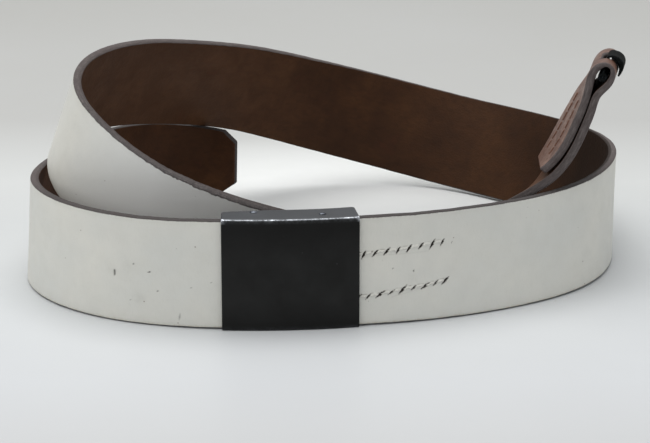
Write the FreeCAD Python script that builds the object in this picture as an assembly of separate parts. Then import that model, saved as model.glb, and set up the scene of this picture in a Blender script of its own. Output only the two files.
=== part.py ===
import FreeCAD, Part
import os
import math

# Duty-style waist belt, standing on its lower edge in a loose coil of almost
# two turns.  One leather strap runs from its tapered tail, round the outside,
# behind a sheet-metal plate buckle, round the inside and up to a folded end
# that carries a sheet-metal hook.  Millimetres, +Z up.  The origin is the
# centre of the bottom of the bounding box, so the belt stands on Z = 0.

V = FreeCAD.Vector

# ---------------------------------------------------------------- dimensions
STRAP_WIDTH = 50.0          # strap, edge to edge
STRAP_THICK = 4.0
TAIL_WIDTH = 33.0           # width the tail tapers down to
TAPER_LENGTH = 90.0
TIP_LENGTH = 7.0            # length of the two corner chamfers of the tail
TIP_WIDTH = 23.0            # straight end edge between the chamfers

PLATE_HALF = 31.0           # buckle plate: half of its width
PLATE_BULGE = 2.25          # rise of the curved front over its chord
PLATE_HEIGHT = 51.8
PLATE_SHEET = 0.8
PLATE_YAW = 4.649           # degrees about +Z
PLATE_X, PLATE_Y = -15.3345, -90.0584   # chord centre, before the datum shift
PLATE_BEND_R = 1.1          # outside bend radius of the two flanges
PIN_R = 1.15
PIN_HEAD_R = 1.70
PIN_HEAD_H = 0.65
TAB_PIN = (14.8, 6.60)      # (along the plate, behind its chord)
CATCH_PIN = (-15.85, 11.45)

TAB_PLY = 0.9               # leather tab that holds the tab pin
TAB_HALF_HEIGHT = 12.8
TAB_END = 424.0             # where the tab's two plies end along the strap
TAB_PIN_S = 364.4           # strap station beside the tab pin

STITCH_R = 0.33             # legs of the thread through the leather
STITCH_W = 0.95             # width of the thread on the surface
STITCH_H = 0.55             # height of the thread bars
UPPER_ROW = [(377.4, 7.1), (382.7, 7.5), (388.0, 7.9), (393.2, 8.3), (398.5, 8.5),
             (403.7, 9.1), (409.4, 9.8), (414.9, 10.1), (419.9, 10.5)]
LOWER_ROW = [(379.6, -12.7), (384.9, -12.2), (390.4, -11.6), (395.8, -10.8), (400.9, -10.1),
             (406.2, -9.5), (411.6, -9.1), (416.4, -8.4), (421.3, -7.6)]
FOLD_ROW_T = [-16.0, -21.2, -26.4, -31.6, -36.8, -42.0, -47.2]
FOLD_ROW_V = 10.5

FOLD_OFFSET = 2.3           # strap centre to the fold's parting plane
FOLD_LENGTH = 55.0          # length of the layer folded back
# fold profile: (t along the strap past the bar, h off the parting plane, thickness)
FOLD = [(-24.0, 2.30, 4.00), (-17.0, 2.24, 3.90), (-12.0, 2.15, 3.75), (-9.0, 2.35, 3.60),
        (-6.4, 2.95, 3.45), (-3.4, 3.98, 3.25), (0.0, 4.55, 3.10), (3.0, 4.12, 2.60),
        (5.2, 2.80, 2.05), (6.22, 1.35, 1.80), (6.42, 0.0, 1.85),
        (6.12, -1.32, 2.05), (5.0, -2.67, 2.50), (2.86, -3.86, 3.15), (0.0, -4.27, 3.60),
        (-3.4, -3.76, 3.70), (-6.4, -2.84, 3.70), (-9.0, -2.32, 3.70), (-12.0, -2.12, 3.70),
        (-17.0, -2.10, 3.70), (-24.0, -2.14, 3.70), (-32.0, -2.26, 3.70), (-40.0, -2.48, 3.70),
        (-48.0, -2.78, 3.70), (-55.0, -3.10, 3.70)]

HOOK_SHEET = 1.2
HOOK_BAR_HALF = 23.5        # half length of the bar inside the fold
HOOK_ROLL_R = 2.2           # the bar's rolled edge, round about the swivel axis
HOOK_SWELL = 1.6            # how much the tongue thickens outwards in its middle
HOOK_SWELL_RUN = 12.2       # length of that part, measured back from the tip
HOOK_TONGUE_HALF = 10.0     # half width of the tongue outside it
HOOK_AXIS = (0.2, 0.45)     # (t, h) of the swivel axis
# hook profile centreline in (t, h)
HOOK_BAR = [(-1.0, 1.2), (0.3, 0.55), (1.6, -0.1), (2.9, -0.75), (3.7, -1.12)]
HOOK_TONGUE = [(2.9, -0.75), (4.2, -1.3), (5.6, -1.72), (6.9, -1.95), (7.9, -1.75), (8.45, -1.0),
               (8.62, 0.2), (8.5, 1.6), (7.95, 3.05), (6.95, 4.5), (5.5, 5.75), (3.8, 6.5), (2.2, 6.85)]
SLOT = (3.6, 9.5, -3.3, -0.2)   # t0, t1, h0, h1 of the slot in the fold's crest
SLOT_HALF = 10.6

# The strap's centreline: (distance from the tail tip, x, y, z, lean in degrees).
# The lean turns the strap's width away from upright, about the centreline.
STATIONS = [
    (0.00, -47.41, 118.67, 24.16, -1.94),
    (12.00, -58.57, 122.94, 24.66, -2.37),
    (24.00, -70.47, 123.99, 25.09, -2.35),
    (35.99, -82.15, 121.48, 25.39, -1.94),
    (47.99, -92.54, 115.58, 25.50, -1.30),
    (59.99, -101.02, 107.12, 25.42, -0.65),
    (71.99, -107.72, 97.19, 25.27, -0.15),
    (83.98, -113.24, 86.54, 25.17, 0.08),
    (95.98, -118.04, 75.54, 25.16, -0.06),
    (107.98, -122.45, 64.38, 25.15, -0.49),
    (119.98, -126.72, 53.17, 25.12, -1.10),
    (134.23, -131.59, 39.78, 25.06, -1.95),
    (148.48, -135.90, 26.20, 25.10, -2.75),
    (162.73, -139.09, 12.32, 25.23, -3.34),
    (176.98, -140.41, -1.85, 25.32, -3.52),
    (191.22, -139.16, -16.02, 25.38, -3.26),
    (205.47, -135.38, -29.74, 25.51, -2.70),
    (219.72, -129.38, -42.65, 25.64, -1.96),
    (233.97, -121.33, -54.38, 25.69, -1.12),
    (248.22, -111.41, -64.58, 25.66, -0.28),
    (262.47, -99.96, -73.05, 25.60, 0.45),
    (276.72, -87.36, -79.67, 25.57, 1.03),
    (290.97, -73.93, -84.39, 25.62, 1.36),
    (305.22, -60.01, -87.39, 25.75, 0.79),
    (319.47, -45.84, -88.93, 25.90, 0.56),
    (333.72, -31.60, -89.29, 25.90, 0.55),
    (347.97, -17.37, -88.63, 25.90, 0.58),
    (362.21, -3.22, -87.04, 25.90, 0.59),
    (376.45, 10.81, -84.58, 25.90, -0.03),
    (390.68, 24.70, -81.52, 25.87, -0.76),
    (404.92, 38.43, -77.77, 25.68, -1.52),
    (419.17, 51.85, -72.99, 25.58, -2.26),
    (433.42, 64.87, -67.21, 25.52, -2.94),
    (447.67, 77.47, -60.56, 25.45, -3.51),
    (461.91, 89.60, -53.09, 25.41, -3.94),
    (476.16, 101.12, -44.71, 25.50, -4.20),
    (490.41, 111.71, -35.20, 25.69, -4.25),
    (504.66, 120.93, -24.35, 25.87, -4.03),
    (518.91, 128.40, -12.23, 25.98, -3.49),
    (533.16, 134.13, 0.80, 25.99, -2.59),
    (547.41, 138.31, 14.42, 25.95, -1.32),
    (561.66, 141.01, 28.40, 25.92, 0.36),
    (575.90, 142.10, 42.60, 25.83, 2.49),
    (590.15, 141.31, 56.81, 25.60, 5.17),
    (604.39, 138.45, 70.75, 25.31, 8.35),
    (618.64, 133.80, 84.20, 25.04, 11.73),
    (632.89, 127.74, 97.09, 24.72, 14.97),
    (647.13, 120.58, 109.40, 24.42, 17.75),
    (661.38, 112.46, 121.10, 24.22, 19.80),
    (675.63, 103.46, 132.14, 24.17, 20.83),
    (689.88, 93.62, 142.44, 24.31, 20.70),
    (704.13, 82.81, 151.69, 24.84, 19.47),
    (718.37, 70.91, 159.38, 26.12, 17.20),
    (732.62, 57.99, 164.94, 28.30, 13.98),
    (746.87, 44.43, 168.08, 31.25, 9.94),
    (761.12, 30.68, 168.81, 34.82, 5.24),
    (775.36, 17.12, 167.13, 38.82, 0.06),
    (789.61, 4.07, 163.39, 43.11, -5.31),
    (803.86, -8.37, 158.07, 47.56, -10.65),
    (818.11, -20.18, 151.53, 52.10, -15.78),
    (832.36, -31.32, 143.88, 56.59, -20.17),
    (846.60, -41.75, 135.15, 60.78, -23.22),
    (860.81, -51.44, 125.42, 64.44, -24.56),
    (874.98, -60.75, 115.26, 67.72, -25.54),
    (889.14, -69.69, 104.67, 70.64, -25.77),
    (903.30, -78.45, 93.88, 73.34, -25.67),
    (917.40, -87.06, 83.00, 75.84, -25.38),
    (931.41, -95.43, 71.96, 77.96, -25.17),
    (945.39, -103.42, 60.59, 79.47, -25.02),
    (959.44, -111.15, 48.90, 80.34, -25.60),
    (973.57, -117.91, 36.51, 80.23, -25.41),
    (987.74, -122.84, 23.32, 78.78, -23.33),
    (1001.95, -125.16, 9.66, 75.77, -19.35),
    (1016.19, -124.08, -3.72, 71.16, -13.73),
    (1030.44, -119.13, -15.60, 65.21, -7.09),
    (1044.69, -110.82, -25.01, 58.56, -0.22),
    (1058.94, -100.45, -32.07, 51.84, 6.74),
    (1073.19, -88.73, -36.95, 45.41, 14.00),
    (1087.44, -75.94, -39.36, 39.66, 21.84),
    (1101.69, -62.50, -39.18, 35.02, 30.01),
    (1115.93, -48.83, -37.05, 31.63, 38.45),
    (1130.18, -35.16, -33.85, 29.24, 46.82),
    (1144.44, -21.48, -30.32, 27.38, 53.94),
    (1158.69, -7.73, -27.01, 25.64, 59.16),
    (1168.69, 1.99, -25.04, 24.33, 62.83),
    (1178.68, 11.75, -23.32, 23.03, 67.74),
    (1188.68, 21.56, -21.77, 21.86, 74.25),
    (1198.68, 31.43, -20.33, 21.15, 80.59),
    (1208.68, 41.33, -18.98, 21.34, 84.36),
    (1218.69, 51.16, -17.77, 22.71, 83.57),
    (1228.72, 60.80, -16.75, 25.28, 79.86),
    (1238.77, 70.19, -15.93, 28.76, 75.79),
    (1248.82, 79.33, -15.30, 32.88, 73.04),
    (1258.84, 88.18, -14.89, 37.57, 72.27),
    (1268.85, 96.53, -14.56, 43.07, 73.27),
    (1278.85, 103.98, -14.08, 49.70, 75.71),
    (1288.84, 110.18, -13.44, 57.49, 78.81),
    (1298.80, 115.24, -12.92, 66.05, 81.51),
    (1308.72, 119.60, -12.58, 74.94, 83.11),
    (1318.58, 123.73, -12.40, 83.90, 83.44),
    (1328.47, 128.07, -12.37, 92.78, 83.05),
    (1338.41, 133.16, -12.62, 101.31, 82.71)
]
STRAP_LENGTH = STATIONS[-1][0]

# shift that puts the origin under the centre of the bounding box
DATUM = (0.822, 40.369, 0.0)

os.makedirs("parts", exist_ok=True)


# ------------------------------------------------------------ strap geometry
def spline(points, params):
    c = Part.BSplineCurve()
    c.interpolate(Points=points, Parameters=params)
    return c


SPAN_ROWS = 9       # stations per face along a ribbon
S_KEYS = [r[0] for r in STATIONS]
CENTRE = spline([V(r[1], r[2], r[3]) for r in STATIONS], S_KEYS)
LEAN = spline([V(r[0], r[4], 0) for r in STATIONS], S_KEYS)


def frame_at(s):
    """centre, along, outward normal and width direction of the strap at s"""
    p, t = CENTRE.getD1(s)
    t.normalize()
    w0 = V(0, 0, 1) - t * t.z
    w0.normalize()
    n0 = t.cross(w0)
    a = math.radians(LEAN.value(s).y)
    w = w0 * math.cos(a) + n0 * math.sin(a)
    n = t.cross(w)
    n.normalize()
    return p, t, n, w


def half_width(s):
    t = max(0.0, min(1.0, s / TAPER_LENGTH))
    k = t * t * (3 - 2 * t) * 0.35 + t * 0.65
    return TAIL_WIDTH / 2 + (STRAP_WIDTH - TAIL_WIDTH) / 2 * k


def fold_point(t, h):
    """point at (t, h) in the folded end, with its two directions"""
    if t <= 0:
        p, tt, n, w = frame_at(STRAP_LENGTH + t)
        return p + n * (h - FOLD_OFFSET), tt, n, w
    p, tt, n, w = frame_at(STRAP_LENGTH)
    return p + n * (h - FOLD_OFFSET) + tt * t, tt, n, w


def profile_stations(points, params, count):
    """sample a (t, h, thickness) profile: centre, normal, width, thickness"""
    c = spline([V(a, b, 0) for a, b, _ in points], params)
    k = spline([V(th, q, 0) for (_, _, th), q in zip(points, params)], params)
    out = []
    for i in range(count + 1):
        q = params[0] + (params[-1] - params[0]) * i / count
        p2, d2 = c.getD1(q)
        d2.normalize()
        p, tt, n, w = fold_point(p2.x, p2.y)
        nn = tt * (-d2.y) + n * d2.x
        out.append((p, nn, w, k.value(q).x))
    return out


def chord_params(points):
    q = [0.0]
    for a, b in zip(points, points[1:]):
        q.append(q[-1] + math.hypot(b[0] - a[0], b[1] - a[1]))
    return q


def ribbon(corner_rows):
    """closed solid through rows of four corners (outer-top, inner-top,
    outer-bottom, inner-bottom); the first row may be joined by a straight
    tip piece"""
    keys = [0.0]
    for a, b in zip(corner_rows, corner_rows[1:]):
        m = [(b[i] - a[i]).Length for i in range(4)]
        keys.append(keys[-1] + sum(m) / 4)
    curves = [spline([r[i] for r in corner_rows], keys) for i in range(4)]
    cuts = list(range(0, len(keys) - 1, SPAN_ROWS))
    if len(keys) - 1 - cuts[-1] < 4:
        cuts.pop()
    cuts.append(len(keys) - 1)
    faces = []
    for a, b in zip(cuts, cuts[1:]):
        parts = []
        for c in curves:
            c = c.copy()
            c.segment(keys[a], keys[b])
            parts.append(c)
        ot, it, ob, ib = parts
        faces += [ruled(ot, ob), ruled(it, ib), ruled(ot, it), ruled(ob, ib)]
    return faces


def ruled(c1, c2):
    """ruled face between two curves that share their knots"""
    poles = [[a, b] for a, b in zip(c1.getPoles(), c2.getPoles())]
    surf = Part.BSplineSurface()
    surf.buildFromPolesMultsKnots(poles, c1.getMultiplicities(), [2, 2], c1.getKnots(), [0.0, 1.0],
                                  False, False, c1.Degree, 1)
    return surf.toShape()


def quad(a, b, c, d):
    surf = Part.BSplineSurface()
    surf.buildFromPolesMultsKnots([[a, d], [b, c]], [2, 2], [2, 2], [0.0, 1.0], [0.0, 1.0], False, False, 1, 1)
    return surf.toShape()


def close_solid(faces):
    shape = Part.Compound(faces)
    shape.sewShape(1e-4)
    shell = shape.Shells[0] if shape.Shells else Part.Shell(shape.Faces)
    solid = Part.Solid(shell)
    if solid.Volume < 0:
        solid.reverse()
    if not solid.isValid():
        solid.fix(1e-4, 1e-4, 1e-3)
    return solid


def corners(p, n, w, hw_hi, hw_lo, th):
    a, b = n * (th / 2), w
    return (p + a + b * hw_hi, p - a + b * hw_hi, p + a - b * hw_lo, p - a - b * hw_lo)


def export(shape, name):
    shape = shape.copy()
    shape.translate(V(-DATUM[0], -DATUM[1], -DATUM[2]))
    shape.exportStep("parts/%s.step" % name)
    print(name, "solids", len(shape.Solids), "volume %.1f" % shape.Volume, "valid", shape.isValid())
    bb = shape.BoundBox
    BOXES.append((bb.XMin, bb.YMin, bb.ZMin, bb.XMax, bb.YMax, bb.ZMax))
    return shape


BOXES = []

# -------------------------------------------------------------------- strap
rows = []
body_keys = [TIP_LENGTH] + [s for s in S_KEYS if TIP_LENGTH + 2 < s < STRAP_LENGTH - 29]
for s in body_keys:
    p, t, n, w = frame_at(s)
    hw = half_width(s)
    rows.append(corners(p, n, w, hw, hw, STRAP_THICK))
fold_params = chord_params(FOLD)
fold_rows = profile_stations(FOLD, fold_params, 62)
area = 0.0
for p, n, w, th in fold_rows:
    rows.append(corners(p, n, w, STRAP_WIDTH / 2, STRAP_WIDTH / 2, th))
faces = ribbon(rows)
p, t, n, w = frame_at(0.0)
tip = corners(p, n, w, TIP_WIDTH / 2, TIP_WIDTH / 2, STRAP_THICK)
r0, r1 = rows[0], rows[-1]
# straight chamfered tip between the end edge and the first full row
faces += [quad(tip[0], tip[2], r0[2], r0[0]), quad(tip[1], tip[3], r0[3], r0[1]),
          quad(tip[0], tip[1], r0[1], r0[0]), quad(tip[2], tip[3], r0[3], r0[2]),
          quad(tip[0], tip[1], tip[3], tip[2]), quad(r1[0], r1[1], r1[3], r1[2])]
strap = close_solid(faces)
expect = 0.0
for a, b in zip(rows, rows[1:]):
    ca = (a[0] + a[1] + a[2] + a[3]) * 0.25
    cb = (b[0] + b[1] + b[2] + b[3]) * 0.25
    sa = (a[0] - a[2]).Length * (a[0] - a[1]).Length
    sb = (b[0] - b[2]).Length * (b[0] - b[1]).Length
    expect += (cb - ca).Length * (sa + sb) / 2
print("strap volume %.0f, section times length %.0f" % (strap.Volume, expect))

# slot through the crest of the fold for the hook's tongue
pe, te, ne, we = frame_at(STRAP_LENGTH)
ce = pe - ne * FOLD_OFFSET


def end_point(t, h, v):
    return ce + te * t + ne * h + we * v


def end_prism(outline, v0, v1):
    pts = [end_point(t, h, v0) for t, h in outline]
    wire = Part.makePolygon(pts + [pts[0]])
    return Part.Face(wire).extrude(we * (v1 - v0))


slot = end_prism([(SLOT[0], SLOT[2]), (SLOT[1], SLOT[2]), (SLOT[1], SLOT[3]), (SLOT[0], SLOT[3])],
                 -SLOT_HALF, SLOT_HALF)
strap = strap.cut(slot)
if len(strap.Solids) > 1:
    strap = max(strap.Solids, key=lambda q: q.Volume)
elif strap.Solids:
    strap = strap.Solids[0]

# ------------------------------------------------------------- buckle plate
front_r = (PLATE_HALF ** 2 + PLATE_BULGE ** 2) / (2 * PLATE_BULGE)
front_c = front_r - PLATE_BULGE


def front_y(a, off=0.0):
    r = front_r - off
    return front_c - math.sqrt(r * r - a * a)


def arc_edge(a0, a1, off, z):
    return Part.Arc(V(a0, front_y(a0, off), z), V(0, front_y(0, off), z), V(a1, front_y(a1, off), z)).toShape()


back = spline([V(28.5, 16.8, 0), V(24, 16.05, 0), V(18.9, 15.4, 0), V(9.8, 14.65, 0), V(-3, 14.35, 0),
               V(-17.3, 14.05, 0), V(-28.1, 13.25, 0)], [0, 4.6, 9.8, 18.9, 31.7, 46.0, 56.8])
right_corner = Part.Arc(V(28.5, 16.8, 0), V(29.75, 16.55, 0), V(30.25, 15.4, 0))
left_corner = Part.Arc(V(-28.1, 13.25, 0), V(-29.5, 12.75, 0), V(-30.2, 11.6, 0))
outline = Part.Wire([arc_edge(-PLATE_HALF, PLATE_HALF, 0, 0),
                     Part.LineSegment(V(PLATE_HALF, 0, 0), V(30.25, 15.4, 0)).toShape(),
                     right_corner.toShape(), back.toShape(), left_corner.toShape(),
                     Part.LineSegment(V(-30.2, 11.6, 0), V(-PLATE_HALF, 0, 0)).toShape()])
plate = Part.Face(outline).extrude(V(0, 0, PLATE_HEIGHT))
bends = [e for e in plate.Edges if abs(e.CenterOfMass.y - (-PLATE_BULGE * 0.67)) < 0.4 and e.Length > 55]
plate = plate.makeFillet(PLATE_BEND_R, bends)
cut_outline = Part.Wire([arc_edge(-34, 34, PLATE_SHEET, 0),
                         Part.LineSegment(V(34, front_y(34, PLATE_SHEET), 0), V(34, 40, 0)).toShape(),
                         Part.LineSegment(V(34, 40, 0), V(-34, 40, 0)).toShape(),
                         Part.LineSegment(V(-34, 40, 0), V(-34, front_y(-34, PLATE_SHEET), 0)).toShape()])
cavity = Part.Face(cut_outline).extrude(V(0, 0, PLATE_HEIGHT - 2 * PLATE_SHEET))
cavity.translate(V(0, 0, PLATE_SHEET))
inner_bends = [e for e in cavity.Edges if abs(e.CenterOfMass.y - (-PLATE_BULGE * 0.5)) < 1.2 and e.Length > 60
               and abs(e.CenterOfMass.x) < 1]
plate = plate.cut(cavity)


def pin(x, y):
    """straight shank, flush below, with a low domed head above"""
    shank = Part.makeCylinder(PIN_R, PLATE_HEIGHT)
    dome_r = (PIN_HEAD_R ** 2 + PIN_HEAD_H ** 2) / (2 * PIN_HEAD_H)
    ball = Part.makeSphere(dome_r, V(0, 0, PLATE_HEIGHT + PIN_HEAD_H - dome_r))
    head = ball.common(Part.makeCylinder(PIN_HEAD_R + 1, 3, V(0, 0, PLATE_HEIGHT)))
    s = shank.fuse(head).removeSplitter()
    s = s.Solids[0]
    s.translate(V(x, y, 0))
    return s


for x, y in (TAB_PIN, CATCH_PIN):
    hole = Part.makeCylinder(PIN_R, PLATE_HEIGHT + 4, V(x, y, -2))
    plate = plate.cut(hole)
plate = plate.Solids[0]


def place(shape):
    s = shape.copy()
    s.rotate(V(0, 0, 0), V(0, 0, 1), PLATE_YAW)
    s.translate(V(PLATE_X, PLATE_Y, 0))
    return s


# --------------------------------------------------------------- buckle tab
def tab_centre(s):
    return -2.35 + 0.104 * (s - 383.0)


def inner_point(s, inward, v=0.0):
    """point behind the strap's centre plane at station s"""
    p, t, n, w = frame_at(s)
    return p - n * inward + w * v


yaw = math.radians(PLATE_YAW)
pin_axis = V(PLATE_X + TAB_PIN[0] * math.cos(yaw) - TAB_PIN[1] * math.sin(yaw),
             PLATE_Y + TAB_PIN[0] * math.sin(yaw) + TAB_PIN[1] * math.cos(yaw), 0)
# the station and inward distance of the tab pin
best = None
for i in range(400):
    s = 350.0 + i * 0.1
    p, t, n, w = frame_at(s)
    d = V(pin_axis.x, pin_axis.y, p.z) - p
    if best is None or abs(d.dot(t)) < best[0]:
        best = (abs(d.dot(t)), s, -d.dot(n))
PIN_S, PIN_IN = best[1], best[2]
print("tab pin at station %.1f, %.2f behind the strap's centre" % (PIN_S, PIN_IN))
near_ply, far_ply = STRAP_THICK / 2 + 0.10 + TAB_PLY / 2, STRAP_THICK / 2 + 0.16 + TAB_PLY * 1.5
lr = PIN_R + 0.17 + TAB_PLY / 2
tab_path = [(TAB_END, near_ply), (TAB_END - 14, near_ply), (TAB_END - 28, near_ply), (TAB_END - 42, near_ply),
            (PIN_S + 10.5, near_ply + 0.01), (PIN_S + 6.0, near_ply + 0.04), (PIN_S + 2.2, PIN_IN - lr - 0.01),
            (PIN_S, PIN_IN - lr),
            (PIN_S - lr * 0.78, PIN_IN - lr * 0.66), (PIN_S - lr * 1.02, PIN_IN),
            (PIN_S - lr * 0.74, PIN_IN + lr * 0.72), (PIN_S, PIN_IN + lr), (PIN_S + 2.4, PIN_IN + lr * 0.82),
            (PIN_S + 5.4, PIN_IN + 0.15), (PIN_S + 9.0, far_ply + 0.12), (TAB_END - 42, far_ply),
            (TAB_END - 28, far_ply), (TAB_END - 14, far_ply), (TAB_END, far_ply)]
tab_params = chord_params(tab_path)
tc = spline([V(a, b, 0) for a, b in tab_path], tab_params)
tab_rows = []
for i in range(91):
    q = tab_params[-1] * i / 90
    p2, d2 = tc.getD1(q)
    d2.normalize()
    p, t, n, w = frame_at(p2.x)
    c = p - n * p2.y + w * tab_centre(p2.x)
    nn = t * d2.y + n * d2.x
    tab_rows.append(corners(c, nn, w, TAB_HALF_HEIGHT, TAB_HALF_HEIGHT, TAB_PLY))
tf = ribbon(tab_rows)
a, b = tab_rows[0], tab_rows[-1]
tf += [quad(a[0], a[1], a[3], a[2]), quad(b[0], b[1], b[3], b[2])]
tab = close_solid(tf)


# ----------------------------------------------------------------- stitching
def bar(a, b, up, side_w, height):
    """flat thread bar from a to b, lying on a surface whose normal is up"""
    d = b - a
    length = d.Length
    d.normalize()
    side = d.cross(up)
    side.normalize()
    z = side.cross(d)
    pts = [a - side * (side_w / 2) - z * (height / 2), a + side * (side_w / 2) - z * (height / 2),
           a + side * (side_w / 2) + z * (height / 2), a - side * (side_w / 2) + z * (height / 2)]
    return Part.Face(Part.makePolygon(pts + [pts[0]])).extrude(d * length)


def thread_row(holes, place_fn):
    """one continuous saddle-stitched thread through a row of holes"""
    solids = []
    outer = [place_fn(h, 0) for h in holes]
    inner = [place_fn(h, 1) for h in holes]
    for (po, no), (pi_, ni) in zip(outer, inner):
        d = pi_ - po
        solids.append(Part.makeCylinder(STITCH_R, d.Length, po, d))
    for pts in (outer, inner):
        for (a, na), (b, nb) in zip(pts, pts[1:]):
            d = b - a
            d.normalize()
            solids.append(bar(a - d * 0.42, b + d * 0.42, na + nb, STITCH_W, STITCH_H))
    s = solids[0].multiFuse(solids[1:])
    return s


def tab_stitch(hole, side):
    s, v = hole
    p, t, n, w = frame_at(s)
    if side == 0:
        return p + n * (STRAP_THICK / 2 + 0.12) + w * v, n
    return p - n * (far_ply + TAB_PLY / 2 + 0.1) + w * v, n * -1


def fold_stitch(hole, side):
    t, v = hole
    c = spline([V(a, b, 0) for a, b, _ in FOLD[17:]], [-a for a, b, _ in FOLD[17:]])
    p, tt, n, w = frame_at(STRAP_LENGTH + t)
    base = p - n * FOLD_OFFSET
    if side == 0:
        h = 2.3 + 2.0 + 0.10
        if t > -24:
            h = 2.24 + 1.95 + 0.12
        return base + n * h + w * v, n
    h = c.value(-t).y - 1.85 - 0.1
    return base + n * h + w * v, n * -1


upper_thread = thread_row(UPPER_ROW, tab_stitch)
lower_thread = thread_row(LOWER_ROW, tab_stitch)
fold_upper = thread_row([(t, FOLD_ROW_V) for t in FOLD_ROW_T], fold_stitch)
fold_lower = thread_row([(t, -FOLD_ROW_V) for t in FOLD_ROW_T], fold_stitch)


# ---------------------------------------------------------------------- hook
def strip_outline(path, th, count, taper=0.0, swell=0.0):
    c = spline([V(a, b, 0) for a, b in path], chord_params(path))
    q1 = chord_params(path)[-1]
    left, right = [], []
    for i in range(count + 1):
        q = q1 * i / count
        p2, d2 = c.getD1(q)
        d2.normalize()
        k = th / 2 * (1 - taper * i / count)
        left.append((p2.x - d2.y * k, p2.y + d2.x * k))
        run = max(0.0, (q - q1 + HOOK_SWELL_RUN) / HOOK_SWELL_RUN)
        k += swell * math.sin(math.pi * run) ** 2
        right.append((p2.x + d2.y * k, p2.y - d2.x * k))
    return left, right


def strip_solid(path, th, count, half, taper=0.0, swell=0.0):
    left, right = strip_outline(path, th, count, taper, swell)
    ls = spline([end_point(t, h, -half) for t, h in left], [float(i) for i in range(len(left))]).toShape()
    rs = spline([end_point(t, h, -half) for t, h in right], [float(i) for i in range(len(right))]).toShape()
    e0 = Part.LineSegment(end_point(left[0][0], left[0][1], -half), end_point(right[0][0], right[0][1], -half)).toShape()
    e1 = Part.LineSegment(end_point(left[-1][0], left[-1][1], -half), end_point(right[-1][0], right[-1][1], -half)).toShape()
    wire = Part.Wire(Part.__sortEdges__([ls, e1, rs, e0]))
    return Part.makeFace(wire, "Part::FaceMakerSimple").extrude(we * (2 * half))


hook_bar = strip_solid(HOOK_BAR, HOOK_SHEET, 12, HOOK_BAR_HALF)
hook_tongue = strip_solid(HOOK_TONGUE, HOOK_SHEET, 34, HOOK_TONGUE_HALF, 0.2, HOOK_SWELL)
hook_roll = Part.makeCylinder(HOOK_ROLL_R, 2 * HOOK_BAR_HALF, end_point(HOOK_AXIS[0], HOOK_AXIS[1], -HOOK_BAR_HALF), we)
hook = hook_bar.fuse([hook_tongue, hook_roll])
hook = hook.Solids[0] if len(hook.Solids) == 1 else hook

swivel = end_point(HOOK_AXIS[0], HOOK_AXIS[1], 0)

# ------------------------------------------------------------------- export
OUT = [("strap", strap), ("buckle_plate", place(plate)), ("tab_pin", place(pin(*TAB_PIN))),
       ("catch_pin", place(pin(*CATCH_PIN))), ("buckle_tab", tab),
       ("tab_stitch_upper", upper_thread), ("tab_stitch_lower", lower_thread),
       ("fold_stitch_upper", fold_upper), ("fold_stitch_lower", fold_lower), ("hook", hook)]
for name, shape in OUT:
    export(shape, name)
lo = [min(b[i] for b in BOXES) for i in range(3)]
hi = [max(b[i] for b in BOXES) for i in range(3, 6)]
print("box", [round(v, 3) for v in lo], [round(v, 3) for v in hi])
print("centre", [round((a + b) / 2, 3) for a, b in zip(lo, hi)])
print("swivel point", [round(v, 3) for v in (swivel.x - DATUM[0], swivel.y - DATUM[1], swivel.z - DATUM[2])],
      "axis", [round(v, 5) for v in (we.x, we.y, we.z)])
print("tab pin axis", round(pin_axis.x - DATUM[0], 3), round(pin_axis.y - DATUM[1], 3))
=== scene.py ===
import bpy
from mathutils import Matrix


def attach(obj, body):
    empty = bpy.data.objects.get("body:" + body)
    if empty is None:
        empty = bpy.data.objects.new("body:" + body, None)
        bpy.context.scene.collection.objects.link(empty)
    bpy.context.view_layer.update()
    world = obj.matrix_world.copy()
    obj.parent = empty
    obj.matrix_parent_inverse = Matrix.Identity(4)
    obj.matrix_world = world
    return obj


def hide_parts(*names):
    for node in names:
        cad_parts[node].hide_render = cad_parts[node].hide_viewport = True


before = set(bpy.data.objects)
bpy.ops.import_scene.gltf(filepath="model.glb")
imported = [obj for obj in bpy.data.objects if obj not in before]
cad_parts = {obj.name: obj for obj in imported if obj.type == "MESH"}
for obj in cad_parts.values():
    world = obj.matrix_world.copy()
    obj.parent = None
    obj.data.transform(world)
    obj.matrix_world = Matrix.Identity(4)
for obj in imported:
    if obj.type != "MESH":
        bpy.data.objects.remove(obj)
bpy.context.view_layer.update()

import bpy
import math
import numpy as np

# ---------------------------------------------------------------------------
# dimensions, in metres, in the frame of the CAD model
# ---------------------------------------------------------------------------
MM = 0.001
STRAP_WIDTH, STRAP_THICK = 50 * MM, 4 * MM
TAIL_WIDTH, TAPER_LENGTH = 33 * MM, 90 * MM
TIP_LENGTH, TIP_WIDTH = 7 * MM, 23 * MM
FOLD_OFFSET = 2.3 * MM

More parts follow.
